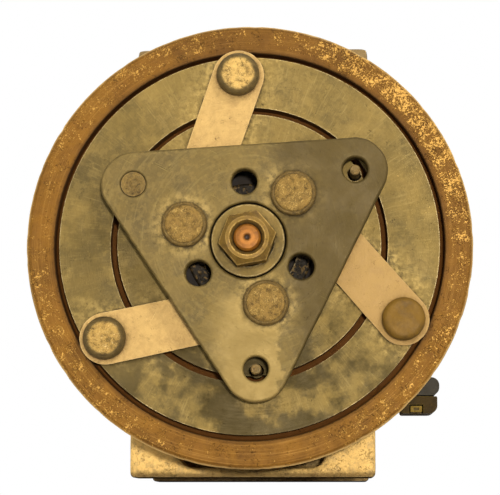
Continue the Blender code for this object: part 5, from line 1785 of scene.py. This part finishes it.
def makeFrontHousing():
    form = housingForm
    big = form["surplus"]
    shell = form["shell"] + big
    outer = [
        (0, form["shellFront"] - big),
        (shell - 1.5, form["shellFront"] - big),
        (shell, form["shellFront"] + 1.5),
        (shell, form["joint"] - form["flangeWidth"] - big),
        (form["flange"] + big, form["joint"] - form["flangeWidth"] - big),
        (form["flange"] + big, form["joint"] + 1),
        (0, form["joint"] + 1),
    ]
    solids = [turned(outer, form["steps"])]
    solids += mountingBar(-1, 0, form["footWidth"] + big, form["footReach"] + big)
    solids += mountingBar(1, 0, form["earWidth"] + big, form["earReach"] + big)
    solids += [rod(form["lug"] + big, 32.3, 44, "Y", place) for place in boltPlaces()]
    solids.append(portPad(form["suctionPlace"], 37))
    solids.append(plate([rectangle(29.3, -41.6, 40.9, -27.3)], -7.3, 6.3))
    solids.append(rod(9.0, -48.6, -37, "X", (form["suctionPlace"], 0)))
    shape = cast(solids)
    nose = filleted([
        (0, form["noseFront"], 0),
        (form["nose"], form["noseFront"], 0.8),
        (form["nose"], form["ringGroove"][1], 0.1),
        (form["ringGroove"][0], form["ringGroove"][1], 0.1),
        (form["ringGroove"][0], form["ringGroove"][2], 0.1),
        (form["nose"], form["ringGroove"][2], 0.1),
        (form["nose"], -12.5, 0.1),
        (19.5, -9.0, 1.5),
        (19.5, -6, 0),
        (0, -6, 0),
    ], 20)
    shape = carved(shape, turned(nose, form["steps"]), operation="UNION")
    hollow = [
        (0, -35), (13, -35), (13, -27.65), (14.2, -27.65), (14.2, -25.85), (13, -25.85), (13, -17.55), (9.1, -17.55),
        (9.1, -5), (21, -5), (21, 7.6), (26, 7.6), (26, 2), (36, 2), (36, 22.2), (41.5, 22.2), (41.5, 41.2),
        (43.9, 41.2), (43.9, 46), (0, 46),
    ]
    tools = [turned(hollow, form["steps"])]
    box = rectangle(-80, -80, 80, 80)
    tools.append(plate([box], 43.0, 60))
    tools.append(plate([rectangle(-80, -20, 80, 60)], -90, -61.5, "Z"))
    tools.append(plate([rectangle(-80, 10.3, 80, 60)], form["portFace"], 90, "Z"))
    for side, reach, half in ((-1, form["footReach"], 37), (1, form["earReach"], 35)):
        tools.append(rod(form["hole"], -half, half, "X", (0, side * (reach - form["holeDrop"])), 40))
    tools += [rod(form["boltHole"], 30, 45, "Y", place, 32) for place in boltPlaces()]
    tools.append(rod(form["suctionBore"], 33, 60, "Z", (-form["portShift"], form["suctionPlace"]), 64))
    tools.append(rod(form["stud"], 44.5, 60, "Z", (form["studShift"], form["suctionPlace"]), 32))
    tools.append(rod(form["plugBore"], -60, -33, "X", (form["suctionPlace"], 0), 40))
    tools += [rod(form["boltSeat"], 31.0, 32.5, "Y", place, 40) for place in boltPlaces()]
    shape = carved(shape, *tools)
    addPiece(
        shape,
        "front_casting",
        "housing",
        makeCastMaterial("Front casting", 7.0),
        ["front_housing"],
        sharp=32,
    )


def makeRearHousing():
    form = housingForm
    big = form["surplus"]
    front = form["joint"] + 0.3
    shell = form["shell"] + big
    outer = [
        (0, front - 1),
        (form["flange"] + big, front - 1),
        (form["flange"] + big, front + form["flangeWidth"] + big),
        (shell, front + form["flangeWidth"] + big),
        (shell, form["end"] - 6 + 0.2),
        (shell - 6, form["end"] + 0.2),
        (0, form["end"] + 0.2),
    ]
    solids = [turned(outer, form["steps"])]
    solids += mountingBar(-1, form["rearFoot"], form["footWidth"] + big, form["footReach"] + big)
    solids += [rod(form["lug"] + big, front - 1, front + 10.7, "Y", place) for place in boltPlaces()]
    solids.append(portPad(form["rearFoot"], 38))
    shape = cast(solids)
    hollow = [(0, 42), (41.5, 42), (41.5, 61.1), (37.2, 61.1), (37.2, 83.1), (0, 83.1)]
    tools = [turned(hollow, form["steps"])]
    box = rectangle(-80, -80, 80, 80)
    tools.append(plate([box], 30, front))
    tools.append(plate([rectangle(-80, 30, 80, 110)], -90, -61.5, "Z"))
    tools.append(plate([rectangle(-80, 58, 80, 110)], form["portFace"], 90, "Z"))
    tools.append(
        rod(form["hole"], -37, 37, "X", (form["rearFoot"], -(form["footReach"] - form["holeDrop"])), 40)
    )
    tools += [rod(form["boltHole"], 40, 56, "Y", place, 32) for place in boltPlaces()]
    tools += [rod(form["boltSeat"], 53.8, 55.5, "Y", place, 40) for place in boltPlaces()]
    tools.append(rod(form["dischargeBore"], 34, 60, "Z", (-form["portShift"], form["rearFoot"]), 64))
    tools.append(rod(form["stud"], 44.5, 60, "Z", (form["studShift"], form["rearFoot"]), 32))
    tools.append(rod(form["valveBore"], 80, 95, "Y", (-15, 15), 48))
    shape = carved(shape, *tools)
    addPiece(
        shape,
        "rear_casting",
        "housing",
        makeCastMaterial("Rear casting", 19.0),
        ["rear_housing"],
        sharp=32,
    )


makeFrontHousing()
makeRearHousing()
print("housings")


# Fasteners and fittings

boltForm = {
    "flats": 10.0,
    "head": 54.1,
    "headEnd": 60.1,
    "washer": 6.35,
    "washerHeight": 0.9,
    "radius": 3.0,
    "tip": 33.2,
}


def makeZincMaterial(name, base, dark, shift):
    material, tree, shader = startMaterial(name, 0.75, 0.4)
    space = use(tree, "space")
    place = space["Place"]
    stain = use(tree, "patches", Place=place, Size=4.0, Shift=shift)
    colour = blended(tree, stain["Mask"], base, dark)
    rust = use(tree, "specks", Place=place, Size=0.7, Amount=0.36)
    colour = laid(tree, colour, (0.20, 0.08, 0.025), rust["Mask"], 0.7)
    wear = use(tree, "wear", Width=0.4, Place=place)
    colour = laid(tree, colour, (0.72, 0.68, 0.58), wear["Mask"], 0.6)
    # dirt and painted shade in corners
    grimeAndShade = use(tree, "grimeAndShade", Reach=3.0, Place=place)
    colour = laid(tree, colour, (0.04, 0.025, 0.014), grimeAndShade["Mask"], 0.8)
    rough = total(tree, (0.35, stain["Fine"]), (0.25, rust["Mask"]), (-0.12, wear["Mask"]))
    surfaced(tree, shader, colour, rough, 0.24, total(tree, (0.6, stain["Fine"]), (0.4, rust["Mask"])), 0.06)
    return material


zinc = makeZincMaterial("Zinc steel", (0.46, 0.43, 0.37), (0.27, 0.23, 0.17), 44.0)
yellowZinc = makeZincMaterial("Yellow zinc steel", (0.52, 0.42, 0.22), (0.30, 0.22, 0.10), 63.0)


def hexSolid(flats, low, high, centre, turn, chamfer=1.0):
    block = plate([hexagon(flats, centre, turn)], low - 0.001, high + 0.001)
    corner = flats / math.sqrt(3)
    face = flats / 2 - 0.3
    cone = turned(
        [
            (0, low),
            (corner + 0.1, low),
            (corner + 0.1, high - chamfer),
            (face, high - 0.02),
            (0, high),
        ], 64, centre
    )
    return carved(block, cone, operation="INTERSECT")


def makeBolts():
    form = boltForm
    for i, place in enumerate(boltPlaces()):
        turn = 30 + housingForm["firstLug"] + 360 / housingForm["lugs"] * i
        head = hexSolid(form["flats"], form["head"], form["headEnd"], place, turn, 1.1)
        washer = turned(
            [
                (0, form["head"]),
                (form["washer"], form["head"]),
                (form["washer"], form["head"] + 0.35),
                (form["washer"] - 0.9, form["head"] + form["washerHeight"]),
                (0, form["head"] + form["washerHeight"]),
            ],
            64,
            place,
        )
        corners = [(0, form["head"] + 0.5), (form["radius"] - 0.1, form["head"] + 0.5)]
        corners += threadTurns(
            form["radius"] - 0.1,
            form["radius"] - 0.5,
            form["head"] - 3.0,
            form["tip"] + 1.5,
        )
        corners += [(form["radius"] - 0.8, form["tip"]), (0, form["tip"])]
        shank = turned(corners, 28, place)
        addPiece(
            joined(head, washer, shank),
            f"flange_bolt_{i + 1}",
            "housing",
            zinc,
            [f"housing_bolt_{i + 1}"],
            sharp=24,
        )


plugForm = {"place": (21.5, 0.0), "face": -48.8, "height": 5.0, "flats": 13.0, "shank": 4.7, "end": -44.5}


def sideways(shape, place):
    # turns a shape drawn along +Y about the origin so that it points along -X from a place (y, z)
    shape.transform(Matrix.Translation((0, place[0], place[1])) @ Matrix.Rotation(math.radians(90), 4, "Z"))
    return shape


def makePlug():
    form = plugForm
    low, high = -form["face"], -form["face"] + form["height"]
    head = hexSolid(form["flats"], low, high, (0, 0), 0.0, 1.0)
    washer = turned(rectangle(0, low, 7.3, low + 0.9), 64)
    shank = turned(rectangle(0, -form["end"], form["shank"] - 0.3, low + 0.5), 48)
    shape = sideways(joined(head, washer, shank), form["place"])
    addPiece(shape, "filler_plug", "housing", yellowZinc, ["oil_plug"], sharp=24)


valveForm = {
    "place": (-15.0, 15.0),
    "shank": 5.0,
    "front": 81.1,
    "seat": 83.1,
    "hexFront": 91.4,
    "hexBack": 97.35,
    "flats": 14.0,
    "bore": 3.4,
    "vent": 1.5,
    "wire": 0.4,
    "coils": 4.5,
}


def makeValve():
    form = valveForm
    head = hexSolid(form["flats"], form["hexFront"], form["hexBack"], form["place"], 0.0, 1.1)
    collar = turned(rectangle(0, form["hexFront"] - 0.01, 7.6, form["hexFront"] + 0.8), 64, form["place"])
    corners = [(0, form["front"]), (form["shank"] - 0.6, form["front"])]
    corners += threadTurns(form["shank"], form["shank"] - 0.5, form["front"] + 1.0, form["hexFront"] - 2.0)
    corners += [(form["shank"] - 0.2, form["hexFront"] + 0.5), (0, form["hexFront"] + 0.5)]
    body = carved(head, collar, turned(corners, 64, form["place"]), operation="UNION")
    hollow = [
        (0, form["front"] - 1), (1.8, form["front"] - 1), (1.8, form["seat"]), (form["bore"], form["seat"]),
        (form["bore"], 95.4), (form["vent"], 95.4), (form["vent"], form["hexBack"] - 0.4),
        (form["vent"] + 0.5, form["hexBack"] + 0.1), (0, form["hexBack"] + 0.1),
    ]
    body = carved(body, turned(hollow, 48, form["place"]))
    addPiece(body, "relief_valve", "housing", yellowZinc, ["relief_valve_body"], sharp=24)
    low, high = span("relief_spring")
    steps = int(form["coils"] * 28)
    radius = form["bore"] - 0.3 - form["wire"]
    shape = bmesh.new()
    rows = []
    for i in range(steps + 1):
        share = i / steps
        angle = 2 * math.pi * form["coils"] * share
        flat = min(1.0, max(0.0, (share - 0.06) / 0.88))
        y = low.y + form["wire"] + (high.y - low.y - 2 * form["wire"]) * flat
        out = Vector((math.cos(angle), 0, math.sin(angle)))
        centre = Vector((form["place"][0], y, form["place"][1])) + out * radius
        rows.append([
            shape.verts.new(centre + out * p.x * form["wire"] + Vector((0, p.y * form["wire"], 0)))
            for p in circle(1, 8)
        ])
    skinned(shape, rows)
    spring = addPiece(shape, "valve_spring", None, zinc, ["relief_spring"], weighted=False)
    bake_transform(spring)
    low, high = span("relief_poppet")
    poppet = turned(
        [
            (0, low.y),
            (1.4, low.y),
            (3.05, low.y + 1.0),
            (3.05, high.y - 0.6),
            (2.2, high.y - 0.6),
            (2.2, high.y),
            (0, high.y),
        ],
        56,
        form["place"],
    )
    addPiece(poppet, "valve_poppet", "relief_poppet", zinc, ["relief_poppet"])


makeBolts()
makePlug()
makeValve()
print("fasteners and relief valve")


# Connector and lead

connectorForm = {
    "left": 41.4,
    "right": 51.4,
    "top": -39.1,
    "bottom": -43.8,
    "front": -9.5,
    "back": 6.5,
    "collarTop": -33.8,
    "collarBottom": -38.8,
    "collarRight": 52.0,
    "clip": (43.9, 47.2, -43.5, -41.7),
    "lead": 1.5,
}


def makePlastic(name, base, dark, dusty, rough):
    material, tree, shader = startMaterial(name, 0.0, rough, Specular_IOR_Level=0.12)
    space = use(tree, "space")
    place = space["Place"]
    stain = use(tree, "patches", Place=place, Size=3.0, Shift=9.0)
    colour = laid(tree, base, dark, stain["Mask"], 0.6)
    dust = use(tree, "specks", Place=place, Size=0.5, Amount=0.40)
    colour = laid(tree, colour, dusty, dust["Mask"], 0.5)
    wear = use(tree, "wear", Width=0.4, Place=place)
    colour = laid(tree, colour, dusty, wear["Mask"], 0.5)
    # dirt and painted shade in corners
    grimeAndShade = use(tree, "grimeAndShade", Reach=2.0, Place=place)
    colour = laid(tree, colour, dark, grimeAndShade["Mask"], 0.8)
    recolour(tree, shader, colour)
    roughen(tree, shader, plus(tree, times(tree, stain["Fine"], 0.4), rough - 0.2))
    raised(tree, shader, total(tree, (0.5, stain["Fine"]), (0.5, grain(tree, place, 3.0, 2.0))), 0.05)
    return material


slate = makePlastic(
    "Slate plastic",
    (0.036, 0.031, 0.022),
    (0.018, 0.015, 0.008),
    (0.060, 0.048, 0.022),
    0.65,
)
darkPlastic = makePlastic(
    "Dark brown plastic",
    (0.036, 0.020, 0.001),
    (0.010, 0.006, 0.001),
    (0.130, 0.084, 0.006),
    0.65,
)
yellowPlastic = makePlastic(
    "Golden plastic",
    (0.17, 0.105, 0.008),
    (0.05, 0.030, 0.003),
    (0.22, 0.145, 0.024),
    0.55,
)
sleeve = makePlastic("Lead sleeving", (0.022, 0.020, 0.019), (0.008, 0.007, 0.006), (0.12, 0.10, 0.08), 0.6)


def makeConnector():
    form = connectorForm
    corners = [
        (form["left"], form["top"], 0.2),
        (form["left"], form["bottom"], 0.7),
        (form["right"], form["bottom"], 2.1),
        (form["right"], form["top"], 0.4),
    ]
    body = softened(plate([filleted(corners, 15)], form["front"], form["back"]), 0.35, 3)
    left, right, low, high = form["clip"]
    gap = plate(
        [rectangle(left - 0.3, form["bottom"] - 1, right + 0.3, high + 0.3)],
        form["front"] - 1,
        form["front"] + 3.3,
    )
    grooves = [
        plate(
            [rectangle(form["right"] - 0.35, z, form["right"] + 1, z + 0.7)],
            form["front"] + 2.0,
            form["back"] - 2.0,
        )
        for z in (-42.2, -40.9)
    ]
    ribs = [
        plate(
            [rectangle(form["left"] + 1.2, form["bottom"] - 1, form["right"] - 2.4, form["bottom"] + 0.45)],
            y,
            y + 1.2,
        )
        for y in (-4.5, -1.6, 1.3)
    ]
    body = carved(body, gap, *grooves, *ribs)
    addPiece(body, "coil_plug_body", "housing", darkPlastic, ["coil_connector"])
    corners = [
        (form["left"], form["collarBottom"], 0.2),
        (form["collarRight"], form["collarBottom"], 2.2),
        (form["collarRight"], form["collarTop"], 2.2),
        (form["left"], form["collarTop"], 0.2),
    ]
    collar = softened(plate([filleted(corners, 12)], form["front"], form["back"]), 0.45, 3)
    cuts = [
        plate(
            [rectangle(form["collarRight"] - 0.4, -37.0, form["collarRight"] + 1, -35.6)],
            form["front"] + 1.5 + 2.6 * i,
            form["front"] + 2.8 + 2.6 * i,
        )
        for i in range(5)
    ]
    addPiece(
        carved(collar, *cuts),
        "coil_plug_collar",
        "housing",
        slate,
        ["connector_collar"],
    )
    lock = softened(
        plate([rectangle(left, low, right, high)], form["front"] + 0.3, form["front"] + 3.0),
        0.25,
        2,
    )
    notch = plate(
        [rectangle(left + 0.9, low + 0.5, right - 0.9, high - 0.5)],
        form["front"],
        form["front"] + 0.9,
    )
    addPiece(carved(lock, notch), "plug_lock", "housing", yellowPlastic, ["connector_lock"])


def leadRoute(steps):
    angle = math.degrees(math.atan2(-33.5, 44.4)) + 12.0
    leave = polar(47.6, angle)
    beside = polar(50.6, angle)
    knots = [
        Vector((leave.x, -10.0, leave.y)),
        Vector((leave.x, -7.0, leave.y)),
        Vector((beside.x, -2.5, beside.y)),
        Vector((44.4, -1.5, -29.0)),
        Vector((44.4, -1.5, -33.5)),
    ]
    ends = [2 * knots[0] - knots[1]] + knots + [2 * knots[-1] - knots[-2]]
    route = []
    for a, b, c, d in zip(ends, ends[1:], ends[2:], ends[3:]):
        for step in range(steps):
            t = step / steps
            route.append(
                b + ((c - a) * t + (2 * a - 5 * b + 4 * c - d) * t**2 + (3 * b - a - 3 * c + d) * t**3) / 2
            )
    return route + [knots[-1]]


def makeLead():
    route = leadRoute(26)
    radius = connectorForm["lead"]
    shape = bmesh.new()
    rows = []
    side = Vector((1, 0, 0))
    for i, point in enumerate(route):
        ahead = (route[min(i + 1, len(route) - 1)] - route[max(i - 1, 0)]).normalized()
        side = (side - ahead * side.dot(ahead)).normalized()
        other = ahead.cross(side)
        size = radius - 0.12 + 0.12 * math.cos(math.pi * i)
        rows.append([shape.verts.new(point + side * p.x * size + other * p.y * size) for p in circle(1, 24)])
    skinned(shape, rows)
    addPiece(
        shape,
        "coil_lead_sleeve",
        "housing",
        sleeve,
        ["coil_lead"],
        sharp=60,
        weighted=False,
    )


makeConnector()
makeLead()
print("connector and lead")


# Inner pieces that keep their CAD solids


def makeMachined(name, metallic, rough, light, dark, fineness, bump, seed):
    material, tree, shader = startMaterial(name, metallic, rough)
    space = use(tree, "space")
    marks = use(tree, "turnMarks", Radius=space["Radius"], Turn=space["Turn"], Fineness=fineness)
    stain = use(tree, "patches", Place=space["Place"], Size=9.0, Shift=seed)
    colour = blended(tree, between(tree, marks["Lines"], 0.38, 0.62), dark, light)
    colour = laid(tree, colour, dark, stain["Mask"], 0.35)
    # dirt and painted shade in corners
    grimeAndShade = use(tree, "grimeAndShade", Reach=2.0, Place=space["Place"])
    colour = laid(tree, colour, tuple(0.2 * c for c in dark), grimeAndShade["Mask"], 0.6)
    lift = total(tree, (0.25, stain["Fine"]), (0.12, marks["Lines"]))
    surfaced(
        tree,
        shader,
        colour,
        lift,
        rough - 0.15,
        total(tree, (0.7, marks["Lines"]), (0.3, stain["Fine"])),
        bump,
    )
    return material


def makeRubber():
    material, tree, shader = startMaterial("Seal rubber", 0.0, 0.55)
    space = use(tree, "space")
    tone = use(tree, "patches", Place=space["Place"], Size=4.0, Shift=2.0)
    recolour(tree, shader, blended(tree, tone["Mask"], (0.018, 0.017, 0.016), (0.045, 0.040, 0.034)))
    roughen(tree, shader, plus(tree, times(tree, tone["Fine"], 0.4), 0.35))
    raised(tree, shader, grain(tree, space["Place"], 5.0, 3.0, 0.6), 0.04)
    return material


# rings behind the clutch, painted nearly black
outerRings = (
    "pulley_bearing_inner_race",
    "pulley_bearing_outer_race",
    "pulley_bearing_shield",
    "pulley_retaining_ring",
    "seal_retaining_ring",
    "clutch_shim",
)


def paintInside():
    bearing = makeMachined("Bearing steel", 0.9, 0.28, (0.62, 0.60, 0.57), (0.42, 0.40, 0.37), 6.0, 0.02, 4.0)
    steel = makeMachined("Bright steel", 0.85, 0.35, (0.55, 0.53, 0.49), (0.34, 0.32, 0.29), 4.0, 0.03, 8.0)
    scroll = makeMachined(
        "Machined aluminium",
        0.8,
        0.38,
        (0.70, 0.69, 0.66),
        (0.50, 0.49, 0.47),
        4.5,
        0.04,
        15.0,
    )
    rubber = makeRubber()
    finishes = {"bearing_steel": bearing, "plain_steel": steel, "scroll": scroll, "rubber": rubber}
    nearBlack = makeMachined(
        "Near black steel",
        0.2,
        0.75,
        (0.020, 0.011, 0.003),
        (0.008, 0.004, 0.001),
        3.0,
        0.05,
        6.0,
    )
    shown = [name for name, node in frame["nodes"].items() if not node.hide_render]
    for row in frame["record"]["subparts"]:
        material = finishes.get(row["material_slot"])
        if material and row["node"] in shown:
            paint(nearBlack if row["node"] in outerRings else material, row["node"])


paintInside()
print("inner pieces")


# Stage, light and camera

stageForm = {"size": 6.0, "tone": (0.80, 0.79, 0.77)}


def makeStage():
    material, tree, shader = startMaterial("Pale floor", 0.0, 0.7)
    place = tree.nodes.new("ShaderNodeTexCoord").outputs["Object"]
    tone = grain(tree, place, 3.0, 3.0, 0.5)
    colour = blended(tree, tone, tuple(0.97 * c for c in stageForm["tone"]), stageForm["tone"])
    recolour(tree, shader, colour)
    clear = tree.nodes.new("ShaderNodeBsdfTransparent")
    mix = tree.nodes.new("ShaderNodeMixShader")
    below = tree.nodes.new("ShaderNodeNewGeometry").outputs["Backfacing"]
    seen = tree.nodes.new("ShaderNodeLightPath").outputs["Is Camera Ray"]
    connect(tree, mix.inputs[0], times(tree, below, seen))
    tree.links.new(shader.outputs[0], mix.inputs[1])
    tree.links.new(clear.outputs[0], mix.inputs[2])
    output = next(node for node in tree.nodes if node.type == "OUTPUT_MATERIAL")
    tree.links.new(mix.outputs[0], output.inputs["Surface"])
    shape = bmesh.new()
    half = stageForm["size"] / 2
    corners = [shape.verts.new((a * half, b * half, 0)) for a, b in ((-1, -1), (1, -1), (1, 1), (-1, 1))]
    shape.faces.new(corners)
    floor = asObject(shape, "floor")
    floor.data.materials.append(material)


worldLook = {"ambient": (0.20, 0.195, 0.185), "background": (1.0, 1.0, 1.0)}


def makeWorld():
    world = bpy.data.worlds.new("Studio")
    world.use_nodes = True
    tree = world.node_tree
    tree.nodes.clear()
    ambient = tree.nodes.new("ShaderNodeBackground")
    ambient.inputs["Color"].default_value = (*worldLook["ambient"], 1)
    white = tree.nodes.new("ShaderNodeBackground")
    white.inputs["Color"].default_value = (*worldLook["background"], 1)
    mix = tree.nodes.new("ShaderNodeMixShader")
    path = tree.nodes.new("ShaderNodeLightPath")
    seen = calc(tree, "MAXIMUM", path.outputs["Is Camera Ray"], path.outputs["Is Glossy Ray"])
    connect(tree, mix.inputs[0], calc(tree, "MAXIMUM", seen, path.outputs["Is Transmission Ray"]))
    tree.links.new(ambient.outputs[0], mix.inputs[1])
    tree.links.new(white.outputs[0], mix.inputs[2])
    output = tree.nodes.new("ShaderNodeOutputWorld")
    tree.links.new(mix.outputs[0], output.inputs["Surface"])
    bpy.context.scene.world = world


lightLook = {
    "key": {"place": (0.55, -0.95, 0.85), "size": 0.3, "power": 9.6, "tone": (1.0, 0.975, 0.93)},
    "fill": {"place": (-0.9, -1.0, 0.25), "size": 1.0, "power": 4.0, "tone": (1.0, 0.98, 0.95)},
    "low": {"place": (0.12, -1.1, 0.035), "size": 0.06, "power": 10.5, "tone": (1.0, 0.96, 0.90)},
    "top": {"place": (0.1, 0.3, 1.2), "size": 1.0, "power": 1.8, "tone": (1.0, 1.0, 1.0)},
    "back": {"place": (-0.8, 1.1, 0.6), "size": 1.0, "power": 8.0, "tone": (1.0, 1.0, 1.0)},
}


def makeLights():
    target = Vector((0, 0, shaftHeight))
    for name, look in lightLook.items():
        lamp = bpy.data.lights.new(name, "AREA")
        lamp.shape = "DISK"
        lamp.size = look["size"]
        lamp.energy = look["power"]
        lamp.color = look["tone"]
        thing = bpy.data.objects.new(name, lamp)
        bpy.context.scene.collection.objects.link(thing)
        thing.location = look["place"]
        thing.rotation_euler = (target - thing.location).to_track_quat("-Z", "Y").to_euler()


cameraForm = {
    "right": 2.0,  # degrees round to the viewer's right
    "below": 7.5,  # degrees below the shaft line
    "distance": 0.540,
    "lens": 145.1,
    "shift": (0.0018, -0.0055),
}


def makeCamera():
    form = cameraForm
    target = Vector((0, lowRim.y, shaftHeight))
    side, under = math.radians(form["right"]), math.radians(form["below"])
    way = Vector((math.sin(side) * math.cos(under), -math.cos(side) * math.cos(under), -math.sin(under)))
    camera = bpy.data.cameras.new("camera")
    camera.lens = form["lens"]
    camera.sensor_width = 36.0
    camera.shift_x, camera.shift_y = form["shift"]
    camera.clip_start = 0.01
    thing = bpy.data.objects.new("camera", camera)
    bpy.context.scene.collection.objects.link(thing)
    thing.location = target + way * form["distance"]
    thing.rotation_euler = (-way).to_track_quat("-Z", "Y").to_euler()
    bpy.context.scene.camera = thing


makeStage()
makeWorld()
makeLights()
makeCamera()
bpy.context.scene.view_settings.view_transform = "Standard"
print("stage, light and camera")
